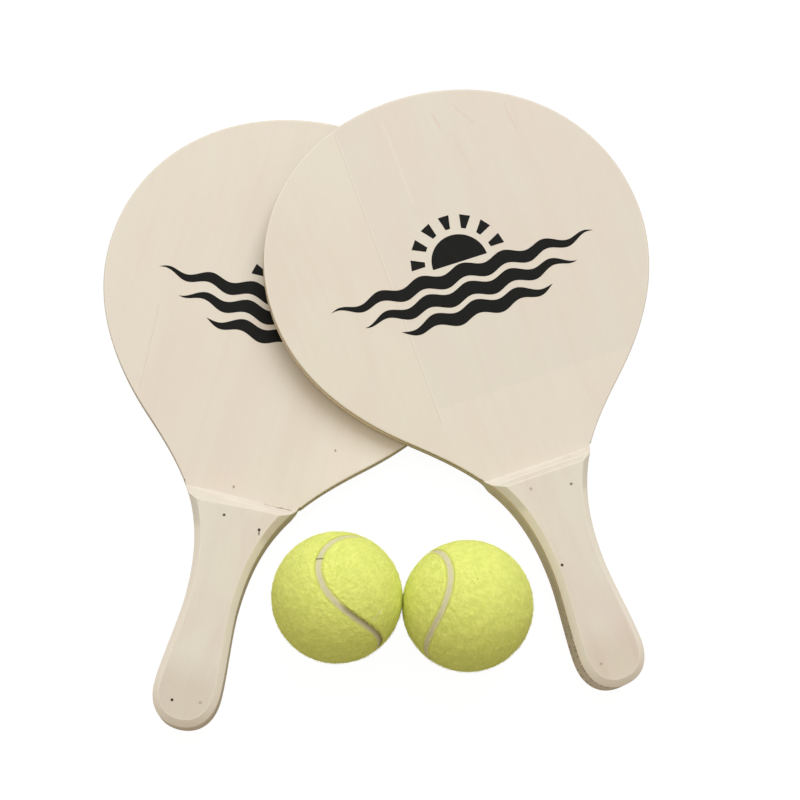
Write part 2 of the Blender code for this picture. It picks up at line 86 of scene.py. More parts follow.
class Element(Enum):
    """What is selected in edit mode."""

    VERTS = "VERT"
    EDGES = "EDGE"
    FACES = "FACE"


def srgb(red: int, green: int, blue: int) -> Colour:
    """A colour as a shader takes it, from its values on screen.

    Args:
        red: from 0 to 255.
        green: from 0 to 255.
        blue: from 0 to 255.

    Returns:
        The linear colour with full alpha.
    """
    shares = [value / 255 for value in (red, green, blue)]
    linear = [s / 12.92 if s <= 0.04045 else ((s + 0.055) / 1.055) ** 2.4 for s in shares]
    return (*linear, 1.0)


# The bench: one mesh at a time, shaped in edit mode


class Bench:
    """One mesh object that is shaped with the modelling operators."""

    def __init__(self, name: str) -> None:
        """Take the object that an operator has just added.

        Args:
            name: the object's new name.
        """
        self.obj: bpy.types.Object = bpy.context.object
        self.obj.name = name
        self.obj.data.name = name

    def edit(self) -> None:
        """Open the mesh in edit mode, alone."""
        to_object_mode()
        bpy.ops.object.select_all(action="DESELECT")
        self.obj.select_set(True)
        bpy.context.view_layer.objects.active = self.obj
        bpy.ops.object.mode_set(mode="EDIT")

    def select(self, element: Element, test: Callable[[object], bool]) -> int:
        """Select what passes a test, and nothing else.

        Args:
            element: verts, edges or faces.
            test: says of each one whether it is selected.

        Returns:
            How many are selected.
        """
        self.edit()
        bpy.ops.mesh.select_mode(type=element.value)
        bpy.ops.mesh.select_all(action="DESELECT")
        mesh = bmesh.from_edit_mesh(self.obj.data)
        mesh.normal_update()
        chosen = [item for item in getattr(mesh, element.name.lower()) if test(item)]
        for item in chosen:
            item.select_set(True)
        mesh.select_flush_mode()
        bmesh.update_edit_mesh(self.obj.data)
        return len(chosen)

    def select_all(self) -> None:
        """Select the whole mesh in edit mode."""
        self.edit()
        bpy.ops.mesh.select_all(action="SELECT")

    def extrude(self, shift: Vector) -> None:
        """Extrude the selected faces.

        Args:
            shift: how far and where to.
        """
        bpy.ops.mesh.extrude_region_move(TRANSFORM_OT_translate={"value": tuple(shift)})

    def face_outwards(self) -> None:
        """Turn all faces of a closed mesh outwards."""
        self.select_all()
        bpy.ops.mesh.normals_make_consistent(inside=False)

    def cut_away(self, point: Vector, normal: Vector) -> None:
        """Cut the mesh with a plane, take away what lies past it and close the cut.

        Args:
            point: a point of the plane.
            normal: points to the side that goes.
        """
        self.select_all()
        bpy.ops.mesh.bisect(plane_co=point, plane_no=normal, use_fill=True, clear_outer=True)

    def finish_modifiers(self) -> None:
        """Apply every modifier in order."""
        to_object_mode()
        bpy.ops.object.select_all(action="DESELECT")
        self.obj.select_set(True)
        bpy.context.view_layer.objects.active = self.obj
        for modifier in list(self.obj.modifiers):
            bpy.ops.object.modifier_apply(modifier=modifier.name)

    def drill(self, cutter: bpy.types.Object) -> None:
        """Cut another object's shape out of this one.

        Args:
            cutter: a closed object in the same frame.
        """
        boolean = self.obj.modifiers.new("holes", "BOOLEAN")
        boolean.operation = "DIFFERENCE"
        boolean.solver = "EXACT"
        boolean.object = cutter
        self.finish_modifiers()

    def smooth(self, angle: float) -> None:
        """Shade smooth, keep edges sharper than an angle, and let flats keep their own normals.

        Args:
            angle: in degrees.
        """
        to_object_mode()
        bpy.ops.object.select_all(action="DESELECT")
        self.obj.select_set(True)
        bpy.context.view_layer.objects.active = self.obj
        bpy.ops.object.shade_smooth_by_angle(angle=math.radians(angle))
        weighted = self.obj.modifiers.new("flats", "WEIGHTED_NORMAL")
        weighted.keep_sharp = True
        self.finish_modifiers()

    def place(self, matrix: Matrix) -> bpy.types.Object:
        """Put the mesh in its place and leave the object at the origin.

        Args:
            matrix: from the piece's own frame to the row's.

        Returns:
            The finished object.
        """
        to_object_mode()
        self.obj.data.transform(matrix)
        self.obj.data.update()
        return self.obj


def to_object_mode() -> None:
    """Leave edit mode if it is on."""
    if bpy.context.object is not None and bpy.context.object.mode != "OBJECT":
        bpy.ops.object.mode_set(mode="OBJECT")


def clear_selection() -> None:
    """Deselect everything, so that an operator acts on nothing by chance."""
    to_object_mode()
    bpy.ops.object.select_all(action="DESELECT")


def mesh_object(name: str, points: np.ndarray, faces: Iterable[Sequence[int]]) -> Bench:
    """An object from points and faces worked out in code.

    Args:
        name: the object's name.
        points: one row a vertex.
        faces: each face's vertices, anticlockwise from outside.

    Returns:
        The object on the bench.
    """
    clear_selection()
    mesh = bpy.data.meshes.new(name)
    mesh.from_pydata([tuple(p) for p in points], [], [tuple(f) for f in faces])
    obj = bpy.data.objects.new(name, mesh)
    bpy.context.scene.collection.objects.link(obj)
    bpy.context.view_layer.objects.active = obj
    return Bench(name)


def hand_over(piece: bpy.types.Object, slot: Slot, *replaced: str) -> None:
    """Let a finished piece ride on the set, hide the solids that it stands for, and log its slot.

    Args:
        piece: the finished object.
        slot: the record's slot, which is only logged.
        replaced: CAD nodes that it stands for.
    """
    if replaced:
        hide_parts(*replaced)
    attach(piece, BODY)
    LOG.info("%s: %d faces, slot %s", piece.name, len(piece.data.polygons), slot.value)


# Shader building


@dataclass
class Graph:
    """A node tree with short calls that add nodes and link them."""

    tree: bpy.types.NodeTree

    def add(self, kind: str, inputs: dict | None = None, **settings: object) -> bpy.types.Node:
        """Add a node.

        Args:
            kind: the node's type without ShaderNode.
            inputs: what goes into its sockets, by name or number: a socket to link or a value.
            settings: the node's own properties.

        Returns:
            The node.
        """
        node = self.tree.nodes.new(f"ShaderNode{kind}")
        for key, value in settings.items():
            setattr(node, key, value)
        for key, value in (inputs or {}).items():
            self.feed(node.inputs[key], value)
        return node

    def feed(self, socket: bpy.types.NodeSocket, value: object) -> None:
        """Link a socket into an input, or set the input's value.

        Args:
            socket: the input.
            value: a socket to link or a plain value.
        """
        if isinstance(value, bpy.types.NodeSocket):
            self.tree.links.new(value, socket)
        else:
            socket.default_value = value

    def math(self, operation: str, first: object, second: object = 0.0, clamp: bool = False) -> Socket:
        """A number from one or two numbers."""
        return self.add("Math", {0: first, 1: second}, operation=operation, use_clamp=clamp).outputs[0]

    def vector(self, operation: str, first: object, second: object = (0.0, 0.0, 0.0)) -> Socket:
        """A vector from one or two vectors."""
        return self.add("VectorMath", {0: first, 1: second}, operation=operation).outputs["Vector"]

    def dot(self, first: object, second: object) -> Socket:
        """The dot product of two vectors."""
        return self.add("VectorMath", {0: first, 1: second}, operation="DOT_PRODUCT").outputs["Value"]

    def scale(self, vector: object, factor: object) -> Socket:
        """A vector times a number."""
        return self.add("VectorMath", {0: vector, "Scale": factor}, operation="SCALE").outputs["Vector"]

    def length(self, vector: object) -> Socket:
        """A vector's length."""
        return self.add("VectorMath", {0: vector}, operation="LENGTH").outputs["Value"]

    def mix(self, share: object, first: object, second: object, blend: str = "MIX") -> Socket:
        """A colour between two, or one blended on the other.

        Args:
            share: how much of the second, from 0 to 1.
            first: the colour below.
            second: the colour above.
            blend: how the second is laid on the first.

        Returns:
            The colour socket.
        """
        node = self.add("Mix", data_type="RGBA", blend_type=blend)
        self.feed(node.inputs[0], share)
        self.feed(node.inputs[6], first)
        self.feed(node.inputs[7], second)
        return node.outputs[2]

    def step(
        self, value: object, start: object, end: object, low: object = 0.0, high: object = 1.0
    ) -> Socket:
        """A smooth step of a value from low to high between start and end."""
        inputs = {"Value": value, "From Min": start, "From Max": end, "To Min": low, "To Max": high}
        return self.add("MapRange", inputs, interpolation_type="SMOOTHSTEP").outputs["Result"]

    def noise(self, vector: object, scale: object, detail: float = 2.0, roughness: float = 0.5) -> Socket:
        """Noise from 0 to 1 at a scale."""
        inputs = {"Vector": vector, "Scale": scale, "Detail": detail, "Roughness": roughness}
        return self.add("TexNoise", inputs).outputs["Fac"]

    def group(self, name: str, inputs: dict) -> bpy.types.Node:
        """Place a node group with its own values.

        Args:
            name: the group's name.
            inputs: what goes into its sockets, by name.

        Returns:
            The group's node.
        """
        node = self.tree.nodes.new("ShaderNodeGroup")
        node.node_tree = bpy.data.node_groups[name]
        for key, value in inputs.items():
            self.feed(node.inputs[key], value)
        return node


def new_material(name: str) -> tuple[bpy.types.Material, Graph, bpy.types.Node]:
    """An empty node material.

    Args:
        name: the material's name.

    Returns:
        The material, its graph and its Principled BSDF node.
    """
    material = bpy.data.materials.new(name)
    material.use_nodes = True
    return material, Graph(material.node_tree), material.node_tree.nodes["Principled BSDF"]


def own_place(graph: Graph, matrix: Matrix) -> Socket:
    """A piece's own coordinates in millimetres, from its place in the row's frame.

    Args:
        graph: the material's graph.
        matrix: from the piece's own frame to the row's.

    Returns:
        The vector socket.
    """
    here = graph.add("TexCoord").outputs["Object"]
    location, rotation, _ = matrix.decompose()
    inputs = {
        "Vector": here,
        "Location": tuple(location),
        "Rotation": tuple(rotation.to_euler("XYZ")),
        "Scale": (MM, MM, MM),
    }
    return graph.add("Mapping", inputs, vector_type="TEXTURE").outputs["Vector"]


SOCKETS = {"vector": "NodeSocketVector", "colour": "NodeSocketColor", "number": "NodeSocketFloat"}


def new_group(
    name: str, inputs: dict[str, tuple[str, object]], outputs: dict[str, str]
) -> tuple[Graph, bpy.types.Node, bpy.types.Node]:
    """A shader node group with named sockets.

    Args:
        name: the group's name.
        inputs: each input's kind and default.
        outputs: each output's kind.

    Returns:
        The group's graph, its input node and its output node.
    """
    tree = bpy.data.node_groups.new(name, "ShaderNodeTree")
    for key, (kind, default) in inputs.items():
        socket = tree.interface.new_socket(key, in_out="INPUT", socket_type=SOCKETS[kind])
        if default is not None:
            socket.default_value = default
    for key, kind in outputs.items():
        tree.interface.new_socket(key, in_out="OUTPUT", socket_type=SOCKETS[kind])
    graph = Graph(tree)
    return graph, tree.nodes.new("NodeGroupInput"), tree.nodes.new("NodeGroupOutput")


class Groups:
    """The effects that more than one material uses."""

    WOOD = "long_grain"
    LINE = "surface_line"
    PATCH = "surface_patch"

    @classmethod
    def build(cls) -> None:
        """Build every group once."""
        cls.long_grain()
        cls.surface_line()
        cls.surface_patch()

    @classmethod
    def long_grain(cls) -> None:
        """Pale wood with fibres along Y: soft patches, streaks and short pores."""
        inputs = {
            "Vector": ("vector", None),
            "Base": ("colour", srgb(230, 218, 200)),
            "Blush": ("colour", srgb(226, 208, 192)),
            "Streak": ("colour", srgb(205, 190, 165)),
            "Contrast": ("number", 1.0),
        }
        graph, given, result = new_group(cls.WOOD, inputs, {"Color": "colour", "Height": "number"})
        place = given.outputs["Vector"]
        wander = graph.scale(graph.add("TexNoise", {"Vector": place, "Scale": 0.012}).outputs["Color"], 9.0)
        bent = graph.vector("ADD", place, graph.vector("MULTIPLY", wander, (1.0, 0.0, 1.0)))
        patches = graph.noise(graph.vector("MULTIPLY", bent, (1.0, 0.35, 1.0)), 0.045, 3.0)
        bands = graph.noise(graph.vector("MULTIPLY", bent, (1.0, 0.03, 1.0)), 0.16, 4.0, 0.6)
        streaks = graph.noise(graph.vector("MULTIPLY", bent, (1.0, 0.035, 1.0)), 1.3, 3.0, 0.6)
        pores = graph.noise(graph.vector("MULTIPLY", bent, (1.0, 0.07, 1.0)), 4.5, 1.0)
        blush = graph.step(patches, 0.38, 0.66)
        colour = graph.mix(blush, given.outputs["Base"], given.outputs["Blush"])
        band = graph.math("MULTIPLY", graph.step(bands, 0.42, 0.72), 0.26)
        fine = graph.math("MULTIPLY", graph.step(streaks, 0.50, 0.78), 0.26)
        dash = graph.math("MULTIPLY", graph.step(pores, 0.66, 0.78), 0.30)
        share = graph.math("ADD", graph.math("ADD", band, fine), dash)
        share = graph.math("MULTIPLY", share, given.outputs["Contrast"], clamp=True)
        colour = graph.mix(share, colour, given.outputs["Streak"])
        fibre = graph.math("MULTIPLY", streaks, 0.5)
        height = graph.math("SUBTRACT", fibre, graph.math("MULTIPLY", dash, 1.4))
        graph.feed(result.inputs["Color"], colour)
        graph.feed(result.inputs["Height"], height)

    @classmethod
    def surface_line(cls) -> None:
        """A thin line from Start to End that wobbles and breaks up a little."""
        inputs = {
            "Vector": ("vector", None),
            "Start": ("vector", None),
            "End": ("vector", None),
            "Width": ("number", 0.4),
            "Wobble": ("number", 0.3),
            "Breaks": ("number", 0.3),
        }
        graph, given, result = new_group(cls.LINE, inputs, {"Mask": "number"})
        place = given.outputs["Vector"]
        shake = graph.add("TexNoise", {"Vector": place, "Scale": 0.35, "Detail": 3.0}).outputs["Color"]
        shake = graph.scale(graph.vector("SUBTRACT", shake, (0.5, 0.5, 0.5)), given.outputs["Wobble"])
        start = given.outputs["Start"]
        from_start = graph.vector("SUBTRACT", graph.vector("ADD", place, shake), start)
        run = graph.vector("SUBTRACT", given.outputs["End"], start)
        along = graph.math("DIVIDE", graph.dot(from_start, run), graph.dot(run, run), clamp=True)
        away = graph.length(graph.vector("SUBTRACT", from_start, graph.scale(run, along)))
        half = graph.math("MULTIPLY", given.outputs["Width"], 0.5)
        mask = graph.step(away, half, given.outputs["Width"], 1.0, 0.0)
        worn = graph.noise(place, 0.9, 2.0)
        breaks = given.outputs["Breaks"]
        keep = graph.step(worn, graph.math("SUBTRACT", breaks, 0.1), breaks)
        graph.feed(result.inputs["Mask"], graph.math("MULTIPLY", mask, keep))

    @classmethod
    def surface_patch(cls) -> None:
        """A box-shaped patch from Low to High in X and Y with soft borders."""
        inputs = {
            "Vector": ("vector", None),
            "Low": ("vector", None),
            "High": ("vector", None),
            "Soft": ("number", 1.0),
        }
        graph, given, result = new_group(cls.PATCH, inputs, {"Mask": "number"})
        place = given.outputs["Vector"]
        past_low = graph.vector("SUBTRACT", place, given.outputs["Low"])
        short_of_high = graph.vector("SUBTRACT", given.outputs["High"], place)
        above = graph.add("SeparateXYZ", {0: past_low})
        below = graph.add("SeparateXYZ", {0: short_of_high})
        mask: object = 1.0
        for part in (above, below):
            for axis in ("X", "Y"):
                inside = graph.step(part.outputs[axis], 0.0, given.outputs["Soft"])
                mask = graph.math("MULTIPLY", mask, inside)
        graph.feed(result.inputs["Mask"], mask)


# Finishes


@dataclass(frozen=True)
class Mark:
    """A thin line on a surface, in the piece's own millimetres: a veneer joint, a crack, a scuff, a hair,
    and in places a painted highlight along an edge.
    """

    start: tuple[float, float, float]
    end: tuple[float, float, float]
    width: float
    colour: Colour
    strength: float
    wobble: float = 0.3
    breaks: float = 0.0

    def mask(self, graph: Graph, place: object) -> Socket:
        """The mark's mask at a place.

        Args:
            graph: the material's graph.
            place: the piece's own coordinates.

        Returns:
            The mask socket, weakened by the mark's strength.
        """
        inputs = {
            "Vector": place, "Start": self.start, "End": self.end,
            "Width": self.width, "Wobble": self.wobble, "Breaks": self.breaks,
        }
        return graph.math("MULTIPLY", graph.group(Groups.LINE, inputs).outputs["Mask"], self.strength)

    def paint(self, graph: Graph, place: object, colour: object) -> Socket:
        """The colour with the mark on it."""
        return graph.mix(self.mask(graph, place), colour, self.colour)


@dataclass(frozen=True)
class Patch:
    """A soft-edged box on a face whose tone is multiplied in: a strip of another veneer, a worn end, and on
    the left blade a painted pool of light.
    """

    low: tuple[float, float]
    high: tuple[float, float]
    soft: float
    colour: Colour
    strength: float

    def paint(self, graph: Graph, place: object, colour: object) -> Socket:
        """The colour with the patch blended on it.

        Args:
            graph: the material's graph.
            place: the piece's own coordinates.
            colour: the colour below.

        Returns:
            The colour socket.
        """
        inputs = {"Vector": place, "Low": (*self.low, 0.0), "High": (*self.high, 0.0), "Soft": self.soft}
        mask = graph.math("MULTIPLY", graph.group(Groups.PATCH, inputs).outputs["Mask"], self.strength)
        return graph.mix(mask, colour, self.colour, "MULTIPLY")


# Wood


@dataclass(frozen=True)
class WoodTones:
    """The tones of one kind of bare wood."""

    base: Colour
    blush: Colour
    streak: Colour
    # Pale tone of the rim lines, partly worn edge and partly painted highlight, and of the chamfers'
    # painted light
    rim: Colour
    sawn: Colour
    contrast: float


VENEER = WoodTones(
    base=srgb(231, 221, 203), blush=srgb(231, 218, 201), streak=srgb(217, 201, 180),
    rim=srgb(240, 231, 213), sawn=srgb(244, 230, 204), contrast=0.45,
)
GRIP_WOOD = WoodTones(
    base=srgb(229, 221, 203), blush=srgb(227, 213, 198), streak=srgb(209, 196, 174),
    rim=srgb(248, 238, 220), sawn=srgb(242, 217, 186), contrast=0.6,
)


# Shares of the blade's thickness for each dark crossband, and how soft its borders are
CROSSBANDS = ((0.07, 0.37), (0.63, 0.93))
PLY_BLUR = 0.03
CROSSBAND_DARK = srgb(172, 150, 116)
CROSSBAND_PALE = srgb(210, 190, 158)
GLUE_LINE = srgb(132, 112, 80)
GLUE_STRENGTH = 0.45
SAW_MARK = srgb(128, 106, 76)
# Places along a bat in its own millimetres, from 0 at the tip to about -327 at the butt
RAMP_FOOT, RAMP_FADE = -226.0, 6.0
SAW_MARKS_START, SAW_MARKS_FULL = -270.0, -300.0
# How far a surface's normal leans: the share of it that points out of the bat's face
WALL_START, WALL_FULL = 0.60, 0.20
# Between these leans the chamfers are lightened with painted light
CHAMFER_START, CHAMFER_FULL = 0.97, 0.80
GRAIN_SHIFT = (1.0, 3.7, 1.9)


@dataclass(frozen=True)
class BareWood:
    """Sanded wood without varnish: paler on its rims, partly worn edge and partly painted highlight, with
    painted light on its chamfers, and darker on its sawn walls.
    """

    tones: WoodTones
    seed: float
    marks: tuple[Mark, ...] = ()
    patches: tuple[Patch, ...] = ()
    plywood: bool = False
    rim_wear_and_highlight: float = 0.6
    chamfer_painted_light: float = 0.0
    saw_marks: float = 0.0
    roughness: float = 0.62

    def material(self, name: str, pose: "BatPose", thickness: float) -> bpy.types.Material:
        """The finish on a piece of one bat.

        Args:
            name: the material's name.
            pose: the bat's place.
            thickness: of the piece, in metres, for its plies.

        Returns:
            The material.
        """
        material, graph, shader = new_material(name)
        place = own_place(graph, pose.matrix)
        shifted = graph.vector("ADD", place, tuple(self.seed * part for part in GRAIN_SHIFT))
        inputs = {
            "Vector": shifted, "Base": self.tones.base, "Blush": self.tones.blush,
            "Streak": self.tones.streak, "Contrast": self.tones.contrast,
        }
        wood = graph.group(Groups.WOOD, inputs)
        colour = wood.outputs["Color"]
        for patch in self.patches:
            colour = patch.paint(graph, place, colour)
        normal = graph.add("NewGeometry").outputs["Normal"]
        upright = graph.math("ABSOLUTE", graph.dot(normal, tuple(pose.up)))
        wall = graph.step(upright, WALL_START, WALL_FULL)
        along = graph.add("SeparateXYZ", {0: place}).outputs["Y"]
        off_ramp = graph.step(along, RAMP_FOOT, RAMP_FOOT - RAMP_FADE)
        share = graph.math("MULTIPLY", off_ramp, self.chamfer_painted_light)
        # Painted light: chamfers off the ramp are mixed towards the pale rim tone
        chamfer_light = graph.math("MULTIPLY", graph.step(upright, CHAMFER_START, CHAMFER_FULL), share)
        colour = graph.mix(chamfer_light, colour, self.tones.rim)
        colour = self.saw_walls(graph, place, colour, wall, thickness)
        # The pale line along each flat's rim: partly worn edge, partly painted highlight
        rim = graph.add("Attribute", attribute_name="rim").outputs["Fac"]
        colour = graph.mix(graph.math("MULTIPLY", rim, self.rim_wear_and_highlight), colour, self.tones.rim)
        for mark in self.marks:
            colour = mark.paint(graph, place, colour)
        graph.feed(shader.inputs["Base Color"], colour)
        rougher, smoother = self.roughness + 0.10, self.roughness - 0.06
        rough = graph.step(wood.outputs["Height"], 0.0, 0.5, rougher, smoother)
        graph.feed(shader.inputs["Roughness"], rough)
        shader.inputs["Specular IOR Level"].default_value = 0.35
        height = self.relief(graph, place, wood.outputs["Height"], wall)
        bump = graph.add("Bump", {"Height": height, "Distance": 0.00006, "Strength": 0.6})
        graph.feed(shader.inputs["Normal"], bump.outputs["Normal"])
        return material

    def saw_walls(
        self, graph: Graph, place: object, colour: object, wall: object, thickness: float
    ) -> Socket:
        """Darken the walls, with crossbands and glue lines where the piece is plywood.

        Args:
            graph: the material's graph.
            place: the bat's own coordinates.
            colour: the wood's colour.
            wall: 1 where the surface is a wall.
            thickness: of the board, in metres.

        Returns:
            The colour socket.
        """
        sawn = graph.mix(0.85, colour, self.tones.sawn)
        if self.plywood:
            sawn = self.ply_stack(graph, place, sawn, thickness)
        elif self.saw_marks:
            teeth = graph.noise(graph.vector("MULTIPLY", place, (1.0, 1.0, 0.1)), 0.9, 2.0, 0.7)
            along = graph.add("SeparateXYZ", {0: place}).outputs["Y"]
            near_butt = graph.step(along, SAW_MARKS_START, SAW_MARKS_FULL)
            strength = graph.math("MULTIPLY", near_butt, self.saw_marks)
            share = graph.math("MULTIPLY", graph.step(teeth, 0.46, 0.58), strength)
            sawn = graph.mix(share, sawn, SAW_MARK)
        return graph.mix(wall, colour, sawn)

    def ply_stack(self, graph: Graph, place: object, sawn: object, thickness: float) -> Socket:
        """The plywood's wall: two dark end-grain crossbands between thin pale faces and a pale core.

        Args:
            graph: the material's graph.
            place: the bat's own coordinates.
            sawn: the pale plies' colour.
            thickness: of the board, in metres.

        Returns:
            The colour socket.
        """
        share = graph.math("DIVIDE", graph.add("SeparateXYZ", {0: place}).outputs["Z"], thickness / MM)
        teeth = graph.noise(graph.vector("MULTIPLY", place, (1.0, 1.0, 0.15)), 1.7, 2.0, 0.7)
        end_grain = graph.mix(graph.step(teeth, 0.40, 0.60), CROSSBAND_DARK, CROSSBAND_PALE)
        stack = sawn
        for low, high in CROSSBANDS:
            above = graph.step(share, low, low + PLY_BLUR)
            below = graph.step(share, high, high - PLY_BLUR)
            inside = graph.math("MULTIPLY", above, below)
            stack = graph.mix(inside, stack, end_grain)
            for edge in (low, high):
                away = graph.math("ABSOLUTE", graph.math("SUBTRACT", share, edge))
                glue = graph.math("MULTIPLY", graph.step(away, 0.0, PLY_BLUR, 1.0, 0.0), GLUE_STRENGTH)
                stack = graph.mix(glue, stack, GLUE_LINE)
        return stack

    def relief(self, graph: Graph, place: object, height: object, wall: object) -> Socket:
        """The surface's height: the grain, the walls' saw marks and the marks as fine grooves.

        Args:
            graph: the material's graph.
            place: the bat's own coordinates.
            height: of the grain.
            wall: 1 where the surface is a wall.

        Returns:
            The height socket.
        """
        saw = graph.noise(graph.vector("MULTIPLY", place, (1.0, 1.0, 0.1)), 1.6, 2.0)
        on_wall = graph.math("MULTIPLY", graph.math("MULTIPLY", saw, wall), 2.0)
        relief = graph.math("ADD", height, on_wall)
        for mark in self.marks:
            relief = graph.math("SUBTRACT", relief, graph.math("MULTIPLY", mark.mask(graph, place), 1.5))
        return relief


@dataclass(frozen=True)
class BradSteel:
    """Dull dark wire, a little rusty."""

    colour: Colour = srgb(78, 70, 60)
    rust: Colour = srgb(92, 66, 44)

    def material(self, name: str) -> bpy.types.Material:
        """The finish of all brads.

        Args:
            name: the material's name.

        Returns:
            The material.
        """
        material, graph, shader = new_material(name)
        here = graph.scale(graph.add("TexCoord").outputs["Object"], 1.0 / MM)
        spots = graph.noise(here, 1.8, 3.0)
        colour = graph.mix(graph.step(spots, 0.4, 0.7), self.colour, self.rust)
        graph.feed(shader.inputs["Base Color"], colour)
        graph.feed(shader.inputs["Roughness"], graph.step(spots, 0.3, 0.7, 0.45, 0.8))
        shader.inputs["Metallic"].default_value = 0.8
        bump = graph.add("Bump", {"Height": spots, "Distance": 0.00004})
        graph.feed(shader.inputs["Normal"], bump.outputs["Normal"])
        return material


@dataclass(frozen=True)
class Putty:
    """A plug that closes a brad's hole, level with the face: pale and grey wood putty, and a dark one that
    paints the brad's steel and the shade in its hole.
    """

    colour: Colour
    dust: Colour = srgb(205, 194, 170)

    def material(self, name: str) -> bpy.types.Material:
        """The finish of one plug.

        Args:
            name: the material's name.

        Returns:
            The material.
        """
        material, graph, shader = new_material(name)
        here = graph.scale(graph.add("TexCoord").outputs["Object"], 1.0 / MM)
        dust = graph.noise(here, 2.6, 3.0)
        colour = graph.mix(graph.step(dust, 0.50, 0.80), self.colour, self.dust)
        graph.feed(shader.inputs["Base Color"], colour)
        shader.inputs["Roughness"].default_value = 0.8
        bump = graph.add("Bump", {"Height": dust, "Distance": 0.00003})
        graph.feed(shader.inputs["Normal"], bump.outputs["Normal"])
        return material


PALE_PUTTY = Putty(srgb(190, 176, 150))
GREY_PUTTY = Putty(srgb(138, 132, 112))
# A dark flush plug that stands for a brad's dark steel head and the painted shade in its sunk hole
DARK_PLUG_AND_SHADE = Putty(srgb(74, 68, 50))


@dataclass(frozen=True)
class PrintInk:
    """Screen-printed black ink: thin, slightly glossy, with the wood's grain showing through."""

    colour: Colour = srgb(17, 16, 12)
    worn: Colour = srgb(34, 32, 25)

    def material(self, name: str, pose: "BatPose", seed: float) -> bpy.types.Material:
        """The finish of one bat's print.

        Args:
            name: the material's name.
            pose: the bat's place.
            seed: shifts the pattern.

        Returns:
            The material.
        """
        material, graph, shader = new_material(name)
        own = own_place(graph, pose.matrix)
        place = graph.vector("ADD", own, tuple(seed * part for part in GRAIN_SHIFT))
        grain = graph.noise(graph.vector("MULTIPLY", place, (1.0, 0.05, 1.0)), 1.6, 4.0, 0.65)
        specks = graph.noise(place, 2.4, 3.0)
        thin = graph.math("MULTIPLY", graph.step(grain, 0.52, 0.72), graph.step(specks, 0.45, 0.7))
        graph.feed(shader.inputs["Base Color"], graph.mix(thin, self.colour, self.worn))
        graph.feed(shader.inputs["Roughness"], graph.step(grain, 0.3, 0.7, 0.45, 0.6))
        shader.inputs["Specular IOR Level"].default_value = 0.12
        bump = graph.add("Bump", {"Height": grain, "Distance": 0.00005, "Strength": 0.5})
        graph.feed(shader.inputs["Normal"], bump.outputs["Normal"])
        return material


@dataclass(frozen=True)
class Felt:
    """Napped felt: yellow tips over a greener, darker root colour that is painted in as shade where the nap
    lies low.
    """

    tip: Colour = srgb(250, 251, 164)
    body: Colour = srgb(245, 248, 132)
    shade: Colour = srgb(236, 244, 114)
    # Painted shade: the dark green mixed in where the nap lies low, in tuft hollows, at the seam's edge and
    # at fibre bases
    root: Colour = srgb(128, 158, 24)
    marks: tuple[Mark, ...] = ()

    def material(self, name: str, pose: Matrix, seed: float) -> bpy.types.Material:
        """The finish of one ball's felt or nap.

        Args:
            name: the material's name.
            pose: the ball's place.
            seed: shifts the pattern.

        Returns:
            The material.
        """
        material, graph, shader = new_material(name)
        own = own_place(graph, pose)
        place = graph.vector("ADD", own, (seed, seed * 2.3, seed * 0.7))
        tufts = graph.noise(place, 0.9, 4.0, 0.65)
        fibres = graph.noise(place, 2.6, 3.0, 0.7)
        depth = graph.add("Attribute", attribute_name="nap").outputs["Fac"]
        colour = graph.mix(graph.step(tufts, 0.30, 0.62), self.shade, self.body)
        colour = graph.mix(graph.math("MULTIPLY", graph.step(fibres, 0.42, 0.68), 0.5), colour, self.tip)
        # Painted shade: the lower the nap attribute, the more the colour goes towards the root colour
        colour = graph.mix(graph.step(depth, 0.0, 1.0), graph.mix(0.28, colour, self.root), colour)
        for mark in self.marks:
            colour = mark.paint(graph, own, colour)
        graph.feed(shader.inputs["Base Color"], colour)
        shader.inputs["Roughness"].default_value = 0.95
        shader.inputs["Specular IOR Level"].default_value = 0.15
        shader.inputs["Sheen Weight"].default_value = 0.12
        shader.inputs["Sheen Roughness"].default_value = 0.6
        shader.inputs["Sheen Tint"].default_value = srgb(240, 242, 190)
        mixed = graph.math("ADD", tufts, graph.math("MULTIPLY", fibres, 0.5))
        bump = graph.add("Bump", {"Height": mixed, "Distance": 0.0005, "Strength": 0.6})
        graph.feed(shader.inputs["Normal"], bump.outputs["Normal"])
        return material


@dataclass(frozen=True)
class Rubber:
    """Matt moulded rubber with a grainy skin."""

    colour: Colour
    dirt: Colour
    lint: Colour = srgb(232, 234, 140)
    shadow: Colour = srgb(112, 96, 58)
    marks: tuple[Mark, ...] = ()

    def material(self, name: str, pose: Matrix) -> bpy.types.Material:
        """The finish on a piece of one ball.

        Args:
            name: the material's name.
            pose: the ball's place.

        Returns:
            The material.
        """
        material, graph, shader = new_material(name)
        place = own_place(graph, pose)
        cloud = graph.noise(place, 0.35, 4.0, 0.6)
        grit = graph.noise(place, 3.0, 3.0, 0.6)
        share = graph.math("MULTIPLY", graph.step(cloud, 0.40, 0.72), 0.45)
        share = graph.math("ADD", share, graph.math("MULTIPLY", graph.step(grit, 0.55, 0.75), 0.25))
        colour = graph.mix(share, self.colour, self.dirt)
        edge = graph.add("Attribute", attribute_name="lint").outputs["Fac"]
        fuzzy = graph.math("MULTIPLY", edge, graph.step(grit, 0.25, 0.60))
        colour = graph.mix(fuzzy, colour, self.lint)
        # Painted shadow along the seam strip, where the raised felt edge shades it
        seam_shadow = graph.add("Attribute", attribute_name="seam_shadow").outputs["Fac"]
        colour = graph.mix(graph.math("MULTIPLY", seam_shadow, 0.85), colour, self.shadow)
        for mark in self.marks:
            colour = mark.paint(graph, place, colour)
        graph.feed(shader.inputs["Base Color"], colour)
        graph.feed(shader.inputs["Roughness"], graph.step(grit, 0.3, 0.7, 0.70, 0.88))
        bump = graph.add("Bump", {"Height": grit, "Distance": 0.0002, "Strength": 0.6})
        graph.feed(shader.inputs["Normal"], bump.outputs["Normal"])
        return material


# The bats


